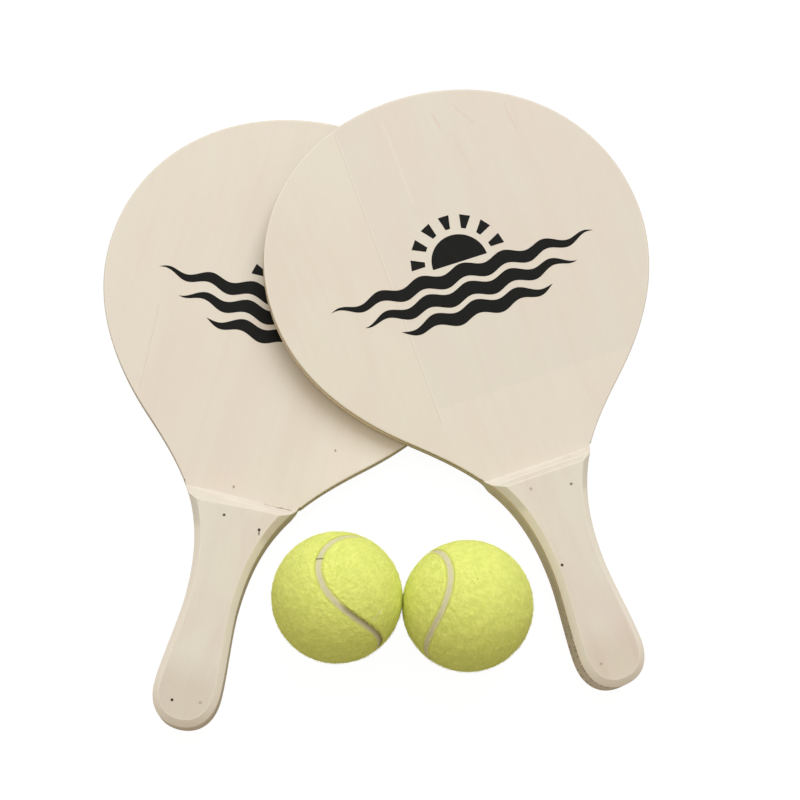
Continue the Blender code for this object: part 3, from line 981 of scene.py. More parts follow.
@dataclass(frozen=True)
class BatPose:
    """Where a bat lies, read off its solids."""

    matrix: Matrix
    length: float
    blade: float
    grip: float
    scale: float
    gap: float

    @property
    def up(self) -> Vector:
        """The unit vector out of the front face."""
        return self.matrix.to_3x3() @ Vector((0.0, 0.0, 1.0))

    @classmethod
    def read(cls, side: Side) -> "BatPose":
        """Find a bat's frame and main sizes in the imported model.

        Args:
            side: which bat.

        Returns:
            The bat's pose.
        """
        points = node_points(f"{side.value}_blade")
        up = flat_normal(f"{side.value}_blade")
        flat = points - np.outer(points @ up, up)
        ends = farthest_pair(flat)
        grip = node_points(f"{side.value}_front_scale")
        first_gap, last_gap = (np.linalg.norm(flat[end] - grip.mean(0)) for end in ends)
        if first_gap < last_gap:
            ends = ends[::-1]
        along = flat[ends[0]] - flat[ends[1]]
        along /= np.linalg.norm(along)
        across = np.cross(along, up)
        axes = np.column_stack((across, along, up))
        blade, scale = points @ axes, grip @ axes
        origin = axes @ np.array((
            (blade[:, 0].min() + blade[:, 0].max()) / 2, blade[:, 1].max(), blade[:, 2].min(),
        ))
        matrix = Matrix.Translation(Vector(origin)) @ Matrix(axes.tolist()).to_4x4()
        return cls(
            matrix=matrix,
            length=float(np.ptp(blade[:, 1])),
            blade=float(np.ptp(blade[:, 2])),
            grip=float(scale[:, 1].max() - blade[:, 1].min()),
            scale=float(np.ptp(scale[:, 2])),
            gap=float(scale[:, 2].min() - blade[:, 2].max()),
        )


def node_points(node: str) -> np.ndarray:
    """The corners of a CAD node.

    Args:
        node: the node's name.

    Returns:
        One row a corner.
    """
    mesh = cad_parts[node].data
    flat = np.empty(len(mesh.vertices) * 3)
    mesh.vertices.foreach_get("co", flat)
    return flat.reshape(-1, 3)


def flat_normal(node: str) -> np.ndarray:
    """The upward normal of a CAD node's largest flat face.

    Args:
        node: the node's name.

    Returns:
        The unit normal.
    """
    widest = max(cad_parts[node].data.polygons, key=lambda face: face.area)
    normal = np.array(widest.normal)
    return normal * np.sign(normal[2]) / np.linalg.norm(normal)


def farthest_pair(points: np.ndarray) -> tuple[int, int]:
    """The two points that lie farthest apart.

    Args:
        points: one row a point.

    Returns:
        Their two row numbers.
    """
    gaps = np.linalg.norm(points[:, None, :] - points[None, :, :], axis=2)
    first, second = np.unravel_index(int(gaps.argmax()), gaps.shape)
    return int(first), int(second)


@dataclass(frozen=True)
class OutlinePoint:
    """A point of the half outline, with the curve's heading there as a turn from straight down."""

    half_width: float
    from_tip: float
    heading: float

    @property
    def place(self) -> Vector:
        """The point in the bat's own frame."""
        return Vector((self.half_width, -self.from_tip, 0.0))

    @property
    def way(self) -> Vector:
        """The curve's unit direction at the point."""
        return Vector((math.sin(self.heading), -math.cos(self.heading), 0.0))


@dataclass
class BatOutline:
    """The bat's outline in plan, the same for the blade and the grip scales."""

    length: float
    head_half_width: float = 101.7 * MM
    widest_from_tip: float = 93.0 * MM
    shoulder_half_width: float = 56.8 * MM
    shoulder_below_widest: float = 85.9 * MM
    shoulder_slope: float = math.radians(47.7)
    waist_half_width: float = 13.3 * MM
    waist_from_butt: float = 62.5 * MM
    flare_half_width: float = 16.5 * MM
    flare_from_butt: float = 19.0 * MM
    reaches: tuple[tuple[float, float], ...] = (
        (0.406, 0.404), (0.448, 0.195), (0.384, 0.439), (0.269, 0.248), (0.510, 0.372),
    )
    steps: int = 26

    def half(self) -> list[OutlinePoint]:
        """The right half's points from tip to butt.

        Returns:
            The points, with the tip and the butt on the centre line.
        """
        across = math.pi / 2
        shoulder = self.widest_from_tip + self.shoulder_below_widest
        return [
            OutlinePoint(0.0, 0.0, across),
            OutlinePoint(self.head_half_width, self.widest_from_tip, 0.0),
            OutlinePoint(self.shoulder_half_width, shoulder, -self.shoulder_slope),
            OutlinePoint(self.waist_half_width, self.length - self.waist_from_butt, 0.0),
            OutlinePoint(self.flare_half_width, self.length - self.flare_from_butt, 0.0),
            OutlinePoint(0.0, self.length, -across),
        ]

    def handles(self) -> list[tuple[Vector, Vector, Vector]]:
        """The closed outline, down the right side and up the left.

        Returns:
            Handle in, place and handle out of each point.
        """
        points = self.half()
        spans = [(b.place - a.place).length for a, b in zip(points, points[1:])]
        out = [reach[0] * span for reach, span in zip(self.reaches, spans)]
        into = [reach[1] * span for reach, span in zip(self.reaches, spans)]
        before, after = [out[0], *into], [*out, into[-1]]
        right = [
            (point.place - point.way * near, point.place, point.place + point.way * far)
            for point, near, far in zip(points, before, after)
        ]
        mirror = Matrix.Diagonal((-1.0, 1.0, 1.0))
        left = [tuple(mirror @ v for v in reversed(trio)) for trio in reversed(right[1:-1])]
        return right + left

    def board(self, name: str, thickness: float) -> Bench:
        """A board of the outline, sawn to a thickness, standing on Z = 0.

        Args:
            name: the object's name.
            thickness: in metres.

        Returns:
            The board on the bench.
        """
        clear_selection()
        bpy.ops.curve.primitive_bezier_circle_add()
        guide = bpy.context.object
        guide.data.dimensions = "3D"
        guide.data.fill_mode = "FULL"
        guide.data.resolution_u = self.steps
        spline = guide.data.splines[0]
        trios = self.handles()
        spline.bezier_points.add(len(trios) - len(spline.bezier_points))
        for point, (handle_in, place, handle_out) in zip(spline.bezier_points, trios):
            point.handle_left_type = point.handle_right_type = "FREE"
            point.handle_left, point.co, point.handle_right = handle_in, place, handle_out
        bpy.ops.object.convert(target="MESH")
        bench = Bench(name)
        bench.select_all()
        bpy.ops.mesh.remove_doubles(threshold=MERGE_DISTANCE)
        bpy.ops.mesh.edge_face_add()
        bench.extrude(Vector((0.0, 0.0, thickness)))
        bench.face_outwards()
        return bench


def is_rim(edge: bmesh.types.BMEdge, height: float) -> bool:
    """Whether an edge is a corner between a level face at a height and a wall.

    Args:
        edge: the edge.
        height: of the face.

    Returns:
        True for such a corner.
    """
    if any(abs(v.co.z - height) > MERGE_DISTANCE for v in edge.verts):
        return False
    return len({abs(round(face.normal.z)) for face in edge.link_faces}) == 2


LARGE_FACE = 250.0 * MM * MM


def rounded(place: Vector) -> tuple[float, ...]:
    """A place to a ten-thousandth of a millimetre, so that places can be compared."""
    return tuple(round(c, 7) for c in place)


def mark_rims(bench: Bench, width: float) -> None:
    """Ring each large level face with a narrow strip and mark its border for the finish, which paints a
    pale line there: partly worn edge, partly painted highlight.

    Args:
        bench: the piece, with its edges already rounded.
        width: of the strip inside the border.
    """
    bench.select(Element.FACES, lambda f: abs(f.normal.z) > 0.999 and f.calc_area() > LARGE_FACE)
    mesh = bmesh.from_edit_mesh(bench.obj.data)
    border = {rounded(v.co) for f in mesh.faces if f.select for v in f.verts}
    bpy.ops.mesh.inset(thickness=width, depth=0.0)
    to_object_mode()
    data = bench.obj.data
    values = [1.0 if rounded(v.co) in border else 0.0 for v in data.vertices]
    attribute = data.attributes.new("rim", "FLOAT", "POINT")
    attribute.data.foreach_set("value", values)


@dataclass(frozen=True)
class BradPlace:
    """One brad: how far right of the centre line, how far from the butt, and the putty over it, if any."""

    right: float
    from_butt: float
    putty: "Putty | None" = None


@dataclass(frozen=True)
class BradSizes:
    """A brad's sizes, the same as its solid's."""

    shank: float = 0.42 * MM
    head: float = 0.68 * MM
    head_length: float = 0.8 * MM
    point_length: float = 1.2 * MM
    sunk: float = 0.25 * MM
    bite: float = 3.2 * MM
    clearance: float = 0.08 * MM
    plug_gap: float = 0.02 * MM
    plug_rim: float = 0.4
    dish: float = 0.06 * MM
    dish_rim: float = 0.35
    point_width: float = 0.12
    sides: int = 20


@dataclass
class Brads:
    """The brads of one bat and the drill for their holes."""

    pose: BatPose
    places: tuple[BradPlace, ...]
    sizes: BradSizes = field(default_factory=BradSizes)

    def turned(self, name: str, grow: float, past: float) -> Bench:
        """A brad standing head up under Z = 0, or its drill.

        Args:
            name: the object's name.
            grow: added to both radii and to the length.
            past: how far it reaches above the head.

        Returns:
            The brad on the bench.
        """
        size = self.sizes
        length = self.pose.scale + self.pose.gap + size.bite - size.sunk
        head, shank = size.head + grow, size.shank + grow
        depth = size.head_length + grow + past
        clear_selection()
        bpy.ops.mesh.primitive_cylinder_add(
            vertices=size.sides, radius=head, depth=depth, location=(0.0, 0.0, past - depth / 2)
        )
        bpy.ops.object.transform_apply(location=True)
        bench = Bench(name)
        bench.select(Element.FACES, lambda f: f.normal.z < -0.9)
        bpy.ops.mesh.inset(thickness=head - shank, depth=0.0)
        bench.extrude(Vector((0.0, 0.0, -(length - size.head_length - size.point_length))))
        bench.extrude(Vector((0.0, 0.0, -size.point_length)))
        bpy.ops.transform.resize(value=(size.point_width, size.point_width, 1.0))
        bench.face_outwards()
        return bench

    def seat(self, place: BradPlace, face: Face) -> Matrix:
        """Where a brad's head sits in the bat's own frame.

        Args:
            place: the brad's place on the scale.
            face: front or rear.

        Returns:
            From the brad's own frame to the bat's.
        """
        top = self.pose.blade + self.pose.gap + self.pose.scale - self.sizes.sunk
        down = place.from_butt - self.pose.length
        if face is Face.FRONT:
            return Matrix.Translation((place.right, down, top))
        turn = Matrix.Rotation(math.pi, 4, "Y")
        return Matrix.Translation((-place.right, down, self.pose.blade - top)) @ turn

    def drill(self) -> bpy.types.Object:
        """One cutter for all holes, in the bat's own frame.

        Returns:
            The cutter.
        """
        single = self.turned("drill", self.sizes.clearance, self.sizes.sunk + MM).obj
        to_object_mode()
        joined = bmesh.new()
        for face in Face:
            for place in self.places:
                copy = single.data.copy()
                copy.transform(self.seat(place, face))
                joined.from_mesh(copy)
                bpy.data.meshes.remove(copy)
        joined.to_mesh(single.data)
        joined.free()
        return single

    def plug(self, name: str, place: BradPlace) -> None:
        """The putty over a front brad, flush with the scale's face.

        Args:
            name: the piece's name.
            place: the brad's place, with its putty.
        """
        size = self.sizes
        radius = size.head + size.clearance - size.plug_gap
        depth = size.sunk - 2 * size.plug_gap
        clear_selection()
        bpy.ops.mesh.primitive_cylinder_add(
            vertices=size.sides, radius=radius, depth=depth, location=(0.0, 0.0, size.sunk - depth / 2)
        )
        bpy.ops.object.transform_apply(location=True)
        bench = Bench(name)
        bench.select(Element.FACES, lambda f: f.normal.z > 0.9)
        bpy.ops.mesh.inset(thickness=radius * size.plug_rim, depth=-size.plug_gap)
        bench.face_outwards()
        bench.smooth(40.0)
        piece = bench.place(self.pose.matrix @ self.seat(place, Face.FRONT))
        piece.data.materials.append(place.putty.material(f"{name}_putty"))
        hand_over(piece, Slot.GRIP)

    def build(self, side: Side, steel: bpy.types.Material) -> None:
        """Every brad of the bat, in place.

        Args:
            side: which bat.
            steel: the brads' finish.
        """
        for face in Face:
            for number, place in enumerate(self.places, start=1):
                bench = self.turned(f"{side.value}_{face.value}_pin_{number}", 0.0, 0.0)
                bench.select(Element.FACES, lambda f: f.normal.z > 0.9)
                bpy.ops.mesh.inset(thickness=self.sizes.head * self.sizes.dish_rim, depth=-self.sizes.dish)
                bench.smooth(40.0)
                piece = bench.place(self.pose.matrix @ self.seat(place, face))
                piece.data.materials.append(steel)
                hand_over(piece, Slot.BRAD, f"{side.value}_{face.value}_brad_{number}")
                if place.putty is not None and face is Face.FRONT:
                    self.plug(f"{side.value}_plug_{number}", place)


@dataclass
class GripScale:
    """One grip scale: a thick piece of solid wood with rounded edges and a two-step sanded ramp."""

    pose: BatPose
    outline: BatOutline
    rounding: float = 3.3 * MM
    rounding_steps: int = 6
    rounding_profile: float = 0.27
    steep_run: float = 3.4 * MM
    steep_rise: float = 4.4 * MM
    ramp_run: float = 6.8 * MM
    crest_slant: float = 0.0
    rim_width: float = 0.6 * MM

    def shape(self, name: str) -> Bench:
        """The scale lying on Z = 0 with its rounded face up.

        Args:
            name: the object's name.

        Returns:
            The scale on the bench.
        """
        thickness = self.pose.scale + self.pose.gap
        bench = self.outline.board(name, thickness)
        bench.select(Element.EDGES, lambda e: is_rim(e, thickness))
        bpy.ops.mesh.bevel(
            offset=self.rounding, segments=self.rounding_steps, profile=self.rounding_profile,
            affect="EDGES",
        )
        foot = Vector((0.0, self.pose.grip - self.pose.length, 0.0))
        knee = foot + Vector((0.0, -self.steep_run, self.steep_rise))
        bench.cut_away(foot, Vector((0.0, self.steep_rise, self.steep_run)).normalized())
        rise, run = thickness - self.steep_rise, self.ramp_run - self.steep_run
        bench.cut_away(knee, Vector((rise * self.crest_slant, rise, run)).normalized())
        mark_rims(bench, self.rim_width)
        return bench

    def seat(self, face: Face) -> Matrix:
        """Where the scale lies in the bat's own frame.

        Args:
            face: front or rear.

        Returns:
            From the scale's own frame to the bat's.
        """
        if face is Face.FRONT:
            return Matrix.Translation((0.0, 0.0, self.pose.blade))
        return Matrix.Rotation(math.pi, 4, "Y")

    def build(self, side: Side, face: Face, drill: bpy.types.Object, wood: bpy.types.Material) -> None:
        """The finished scale on one face.

        Args:
            side: which bat.
            face: front or rear.
            drill: the cutter for the brads' holes, in the bat's own frame.
            wood: the scale's finish.
        """
        name = f"{side.value}_{face.value}_scale"
        bench = self.shape(f"{name}_wood")
        bench.place(self.seat(face))
        bench.drill(drill)
        bench.smooth(24.0)
        piece = bench.place(self.pose.matrix)
        piece.data.materials.append(wood)
        hand_over(piece, Slot.GRIP, name)


@dataclass
class Blade:
    """The plywood blade: the round head and the middle layer of the handle."""

    pose: BatPose
    outline: BatOutline
    rounding: float = 0.8 * MM
    rounding_steps: int = 3
    rim_width: float = 0.5 * MM

    def build(self, side: Side, drill: bpy.types.Object, wood: bpy.types.Material) -> None:
        """The finished blade.

        Args:
            side: which bat.
            drill: the cutter for the brads' holes, in the bat's own frame.
            wood: the blade's finish.
        """
        name = f"{side.value}_blade"
        bench = self.outline.board(f"{name}_wood", self.pose.blade)
        head_end = self.pose.grip - self.pose.length

        def on_head(edge: bmesh.types.BMEdge) -> bool:
            """Whether an edge is a rim of the head."""
            rim = is_rim(edge, 0.0) or is_rim(edge, self.pose.blade)
            return rim and all(v.co.y > head_end for v in edge.verts)

        bench.select(Element.EDGES, on_head)
        bpy.ops.mesh.bevel(offset=self.rounding, segments=self.rounding_steps, profile=0.5, affect="EDGES")
        mark_rims(bench, self.rim_width)
        bench.drill(drill)
        bench.smooth(30.0)
        piece = bench.place(self.pose.matrix)
        piece.data.materials.append(wood)
        hand_over(piece, Slot.BLADE, name)


@dataclass
class SunAndWaves:
    """The printed motif: a half sun with rays over three tapering waves."""

    pose: BatPose
    centre_from_tip: float = 95.0 * MM
    film: float = 0.06 * MM
    sun_radius: float = 15.0 * MM
    sun_steps: int = 48
    ray_from: float = 18.5 * MM
    ray_to: float = 26.0 * MM
    ray_half_turn: float = math.radians(6.5)
    ray_foot: float = 0.6
    rays: int = 7
    wave_lengths: tuple[float, ...] = (146.0 * MM, 118.0 * MM, 84.0 * MM)
    wave_below_sun: float = 2.6 * MM
    wave_pitch: float = 10.4 * MM
    wave_depth: float = 7.4 * MM
    wave_swing: float = 1.7 * MM
    wave_period: float = 23.0 * MM
    wave_taper: float = 3.0
    wave_point: float = 0.02 * MM
    wave_steps: int = 120

    def sun(self) -> tuple[Corners, list[list[int]]]:
        """The half disc.

        Returns:
            Its corners and its one face.
        """
        turns = [math.pi * i / self.sun_steps for i in range(self.sun_steps + 1)]
        rim = [(self.sun_radius * math.cos(t), self.sun_radius * math.sin(t)) for t in turns]
        return rim, [list(range(len(rim)))]

    def ray(self, turn: float) -> tuple[Corners, list[list[int]]]:
        """One ray, a short wedge that widens outwards.

        Args:
            turn: where the ray points.

        Returns:
            Its corners and its one face.
        """
        foot, inner, outer = self.ray_foot, self.ray_from, self.ray_to
        corners = []
        for radius, side in ((inner, -foot), (outer, -1.0), (outer, 1.0), (inner, foot)):
            angle = turn + side * self.ray_half_turn
            corners.append((radius * math.cos(angle), radius * math.sin(angle)))
        return corners, [[0, 1, 2, 3]]

    def wave(self, number: int) -> tuple[Corners, list[list[int]]]:
        """One wave as a strip of quads that tapers to a point at both ends.

        Args:
            number: of the wave, from 0 under the sun.

        Returns:
            Its corners and its faces.
        """
        length = self.wave_lengths[number]
        middle = -self.wave_below_sun - self.wave_depth / 2 - number * self.wave_pitch
        points, faces = [], []
        for i in range(self.wave_steps + 1):
            share = 2.0 * i / self.wave_steps - 1.0
            x = share * length / 2
            y = middle + self.wave_swing * math.cos(2 * math.pi * x / self.wave_period)
            half = self.wave_depth / 2 * (1.0 - abs(share) ** self.wave_taper) + self.wave_point
            points += [(x, y - half), (x, y + half)]
            if i:
                faces.append([2 * i - 2, 2 * i, 2 * i + 1, 2 * i - 1])
        return points, faces

    def build(self, side: Side, ink: bpy.types.Material) -> None:
        """The print on one bat's front face.

        Args:
            side: which bat.
            ink: the print's finish.
        """
        shapes = [self.sun()]
        for i in range(self.rays):
            shapes.append(self.ray(math.pi * (i + 0.5) / self.rays))
        shapes += [self.wave(number) for number in range(len(self.wave_lengths))]
        points: list[tuple[float, float, float]] = []
        faces: list[list[int]] = []
        for corners, parts in shapes:
            start = len(points)
            points += [(x, y - self.centre_from_tip, self.pose.blade) for x, y in corners]
            faces += [[start + i for i in part] for part in parts]
        bench = mesh_object(f"{side.value}_print", np.array(points), faces)
        bench.select_all()
        bench.extrude(Vector((0.0, 0.0, self.film)))
        bench.face_outwards()
        bench.smooth(30.0)
        piece = bench.place(self.pose.matrix)
        piece.data.materials.append(ink)
        hand_over(piece, Slot.INK)


@dataclass
class Bat:
    """One bat: blade, two grip scales, brads and print."""

    side: Side
    brads: tuple[BradPlace, ...]
    blade_finish: BareWood
    grip_finish: BareWood
    seed: float
    crest_slant: float = 0.0

    def build(self, steel: bpy.types.Material) -> None:
        """Build the whole bat around its solids.

        Args:
            steel: the brads' finish.
        """
        pose = BatPose.read(self.side)
        length, blade_thickness = pose.length / MM, pose.blade / MM
        LOG.info("%s bat: %.1f mm long, blade %.1f mm", self.side.value, length, blade_thickness)
        outline = BatOutline(length=pose.length)
        brads = Brads(pose, self.brads)
        drill = brads.drill()
        blade = self.blade_finish.material(f"{self.side.value}_veneer", pose, pose.blade)
        grip = self.grip_finish.material(f"{self.side.value}_grip_wood", pose, pose.scale)
        Blade(pose, outline).build(self.side, drill, blade)
        for face in Face:
            slant = self.crest_slant if face is Face.FRONT else 0.0
            GripScale(pose, outline, crest_slant=slant).build(self.side, face, drill, grip)
        brads.build(self.side, steel)
        bpy.data.objects.remove(drill)
        ink = PrintInk().material(f"{self.side.value}_ink", pose, self.seed)
        SunAndWaves(pose).build(self.side, ink)


# The balls


@dataclass
class SeamCurve:
    """The closed seam on a unit ball, which parts the two panels."""

    swing: float = 0.12
    tip: float = 3.0 * math.pi / 4.0

    def points(self, turns: np.ndarray) -> tuple[np.ndarray, np.ndarray]:
        """Points of the seam and the directions along it.

        Args:
            turns: how far round the seam, in radians.

        Returns:
            The unit points and the unit directions, one row each.
        """
        wide = 1.0 - self.swing
        rise = 2.0 * math.sqrt(wide * self.swing)
        point = np.column_stack((
            wide * np.cos(turns) + self.swing * np.cos(3 * turns),
            wide * np.sin(turns) - self.swing * np.sin(3 * turns),
            rise * np.sin(2 * turns),
        ))
        along = np.column_stack((
            -wide * np.sin(turns) - 3 * self.swing * np.sin(3 * turns),
            wide * np.cos(turns) - 3 * self.swing * np.cos(3 * turns),
            2 * rise * np.cos(2 * turns),
        ))
        return unit(point), unit(along)

    def beside(self, turns: np.ndarray, angle: float) -> np.ndarray:
        """Points of the unit ball beside the seam.

        Args:
            turns: how far round the seam, in radians.
            angle: how far from it, on the upper panel's side if above 0.

        Returns:
            The points, one row each.
        """
        point, along = self.points(turns)
        aside = np.cross(point, along)
        return point * math.cos(angle) + aside * math.sin(angle)

    def angle_from(self, points: np.ndarray, steps: int = 720) -> np.ndarray:
        """How far each unit point lies from the seam.

        Args:
            points: one row a point.
            steps: how many places of the seam are tried.

        Returns:
            The angles.
        """
        turns = np.linspace(0.0, 2 * math.pi, steps, endpoint=False)
        seam, _ = self.points(turns)
        nearest = [(part @ seam.T).max(1) for part in chunks(points)]
        return np.arccos(np.clip(np.concatenate(nearest), -1, 1))


def unit(rows: np.ndarray) -> np.ndarray:
    """Each row at length 1."""
    return rows / np.linalg.norm(rows, axis=1, keepdims=True)


def chunks(rows: np.ndarray, size: int = 4000) -> list[np.ndarray]:
    """The rows in parts of a size, which keeps large products small in memory."""
    return [rows[i:i + size] for i in range(0, len(rows), size)]


# How much of the way round the seam the painted shadow on the strip takes to fade in, in radians
SEAM_SHADOW_FADE = 0.12
# How far across the panel a row's points crowd towards its edges
EDGE_CROWDING = 0.45


@dataclass
class FeltBall:
    """One felt-covered ball: two napped panels and the seam strip between them."""

    side: Side
    felt: Felt
    seam_finish: Rubber
    core_finish: Rubber
    turn: Euler
    seed: int
    felt_thickness: float = 3.2 * MM
    seam_width: float = 3.7 * MM
    seam_recess: float = 0.35 * MM
    edge_rounding: float = 1.1 * MM
    edge_drop: float = 0.40 * MM
    tuft_height: float = 0.50 * MM
    seam_steps: int = 420
    cross_steps: int = 64
    crown: float = 0.12 * MM
    ripple: float = 0.05 * MM
    fibres: int = 16000
    edge_fibres: int = 3200
    fibre_length: float = 1.6 * MM
    fibre_lengths: tuple[float, float] = (0.5, 1.3)
    fibre_tilts: tuple[float, float] = (0.15, 0.75)
    fibre_radius: float = 0.035 * MM
    fibre_root: float = 0.25 * MM
    # Where round the seam, in radians, a painted shadow lies on the strip beside the raised felt edge
    seam_shadow: tuple[float, float] = (0.0, 0.0)
    curve: SeamCurve = field(default_factory=SeamCurve)

    def __post_init__(self) -> None:
        """Read the ball's centre and radius off its solids."""
        nodes = [f"{self.side.value}_ball_felt_{half}" for half in ("upper", "lower")]
        points = np.vstack([node_points(node) for node in nodes])
        low, high = points.min(0), points.max(0)
        centre = (low + high) / 2
        self.radius = float(np.linalg.norm(points - centre, axis=1).max())
        self.matrix = Matrix.Translation(Vector(centre)) @ self.turn.to_matrix().to_4x4()

    def patch(self) -> tuple[np.ndarray, list[list[int]]]:
        """The upper panel as a patch of the unit ball, in rows across it from lobe tip to lobe tip.

        Returns:
            The unit points, one row each, and the faces.
        """
        half = self.seam_steps // 2
        edge = self.seam_width / 2 / self.radius
        steps = np.arange(1, half) * 2 * math.pi / self.seam_steps
        first = self.curve.beside(self.curve.tip + steps, edge)
        last = self.curve.beside(self.curve.tip - steps, edge)
        ends = self.curve.beside(np.array((self.curve.tip, self.curve.tip + math.pi)), edge)
        even = np.linspace(0.0, 1.0, self.cross_steps + 1)
        crowded = (1.0 - np.cos(math.pi * even)) / 2.0
        shares = (1.0 - EDGE_CROWDING) * even + EDGE_CROWDING * crowded
        angles = np.arccos(np.clip((first * last).sum(1), -1, 1))[:, None, None]
        start, stop = first[:, None, :], last[:, None, :]
        spread = shares[None, :, None]
        rows = (start * np.sin(angles * (1 - spread)) + stop * np.sin(angles * spread)) / np.sin(angles)
        points = np.vstack((ends[:1], rows.reshape(-1, 3), ends[1:]))
        width = self.cross_steps + 1
        faces = [[0, 1 + i, 2 + i] for i in range(self.cross_steps)]
        for row in range(half - 2):
            at = 1 + row * width
            below = at + width
            faces += [[at + i, below + i, below + i + 1, at + i + 1] for i in range(self.cross_steps)]
        at, tip = 1 + (half - 2) * width, len(points) - 1
        faces += [[at + i, tip, at + i + 1] for i in range(self.cross_steps)]
        return points, faces

    def relief(self, points: np.ndarray) -> np.ndarray:
        """The felt's surface: rounded at the seam and tufted all over.

        Args:
            points: unit points, one row each.

        Returns:
            The radius at each.
        """
        inside = self.curve.angle_from(points) * self.radius - self.seam_width / 2
        share = np.clip(1.0 - inside / self.edge_rounding, 0.0, 1.0)
        drop = self.edge_drop * (1.0 - np.sqrt(np.clip(1.0 - share ** 2, 0.0, 1.0)))
        seat = Vector((self.seed * 7.0, 0.0, 0.0))
        tufts = np.array([tuft(Vector(p) * self.radius / MM + seat) for p in points])
        return self.radius - drop + self.tuft_height * tufts * np.clip(inside / MM, 0.15, 1.0)

    def panel(self, name: str, flipped: bool, felt: bpy.types.Material) -> None:
        """One felt panel as a closed shell.

        Args:
            name: the piece's name, which is its CAD node's with another ending.
            flipped: whether it is the lower panel, turned half round the X axis.
            felt: its finish.
        """
        points, faces = self.patch()
        if flipped:
            points = points * np.array((1.0, -1.0, -1.0))
        outer = points * self.relief(points)[:, None]
        inner = points * (self.radius - self.felt_thickness)
        count = len(points)
        shell = [list(f) for f in faces] + [[i + count for i in reversed(f)] for f in faces]
        sides = {(a, b) for f in faces for a, b in zip(f, f[1:] + f[:1])}
        shell += [[b, a, a + count, b + count] for a, b in sides if (b, a) not in sides]
        bench = mesh_object(f"{name}_cloth", np.vstack((outer, inner)), shell)
        bench.face_outwards()
        bench.smooth(60.0)
        # The nap attribute falls where the felt lies low, in tuft hollows and where the edge drops to the
        # seam; the finish paints shade there
        nap = bench.obj.data.attributes.new("nap", "FLOAT", "POINT")
        heights = np.linalg.norm(np.vstack((outer, inner)), axis=1) - self.radius
        shares = np.clip(0.6 + 0.9 * heights / self.tuft_height, 0.45, 1.0)
        nap.data.foreach_set("value", shares.astype(np.float32))
        piece = bench.place(self.matrix)
        piece.data.materials.append(felt)
        hand_over(piece, Slot.FELT, name)

    def seam(self, name: str, rubber: bpy.types.Material) -> None:
        """The seam strip: a closed band, a little crowned, below the felt.

        Args:
            name: its CAD node.
            rubber: its finish.
        """
        turns = np.arange(self.seam_steps) * 2 * math.pi / self.seam_steps
        half = self.seam_width / 2 / self.radius
        shares = (-1.0, -0.6, 0.0, 0.6, 1.0)
        top = self.radius - self.seam_recess
        rings = []
        for share in shares:
            wave = np.array([noise.noise(Vector((t * 40.0, share * 3.0, self.seed))) for t in turns])
            height = top + self.crown * (1 - share * share) + self.ripple * wave
            rings.append(self.curve.beside(turns, half * share) * height[:, None])
        for share in (1.0, -1.0):
            rings.append(self.curve.beside(turns, half * share) * (self.radius - self.felt_thickness))
        count, width = self.seam_steps, len(rings)
        points = np.stack(rings, axis=1).reshape(-1, 3)
        faces = [
            [i * width + j, ((i + 1) % count) * width + j,
             ((i + 1) % count) * width + (j + 1) % width, i * width + (j + 1) % width]
            for i in range(count) for j in range(width)
        ]
        bench = mesh_object(f"{name}_strip", points, faces)
        bench.face_outwards()
        bench.smooth(50.0)
        across = np.array((1.0, 0.45, 0.0, 0.45, 1.0, 1.0, 1.0), np.float32)
        lint = bench.obj.data.attributes.new("lint", "FLOAT", "POINT")
        lint.data.foreach_set("value", np.tile(across, count))
        # Painted shadow across the strip: strongest on one edge, under the raised felt, fading out towards
        # the other
        sunk = np.array((1.0, 0.9, 0.35, 0.0, 0.0, 0.0, 1.0), np.float32)
        start, end = self.seam_shadow
        along = np.clip(np.minimum(turns - start, end - turns) / SEAM_SHADOW_FADE, 0.0, 1.0)
        seam_shadow = bench.obj.data.attributes.new("seam_shadow", "FLOAT", "POINT")
        seam_shadow.data.foreach_set("value", np.outer(along, sunk).ravel().astype(np.float32))
        piece = bench.place(self.matrix)
        piece.data.materials.append(rubber)
        hand_over(piece, Slot.SEAM, name)

    def edge_nap(self, rng: np.random.Generator) -> tuple[np.ndarray, np.ndarray]:
        """Fibres along the panels' edges that lean over the seam.

        Args:
            rng: the ball's random numbers.

        Returns:
            The fibres' unit places and the unit directions that they lean in, one row each.
        """
        point, along = self.curve.points(rng.uniform(0.0, 2 * math.pi, self.edge_fibres))
        aside = np.cross(point, along)
        side = rng.choice((-1.0, 1.0), (self.edge_fibres, 1))
        angle = (self.seam_width / 2 + rng.uniform(0.05, 0.5, (self.edge_fibres, 1)) * MM) / self.radius
        ways = point * np.cos(angle) + side * aside * np.sin(angle)
        return unit(ways), unit(0.5 * along * rng.normal(size=(self.edge_fibres, 1)) - side * aside)

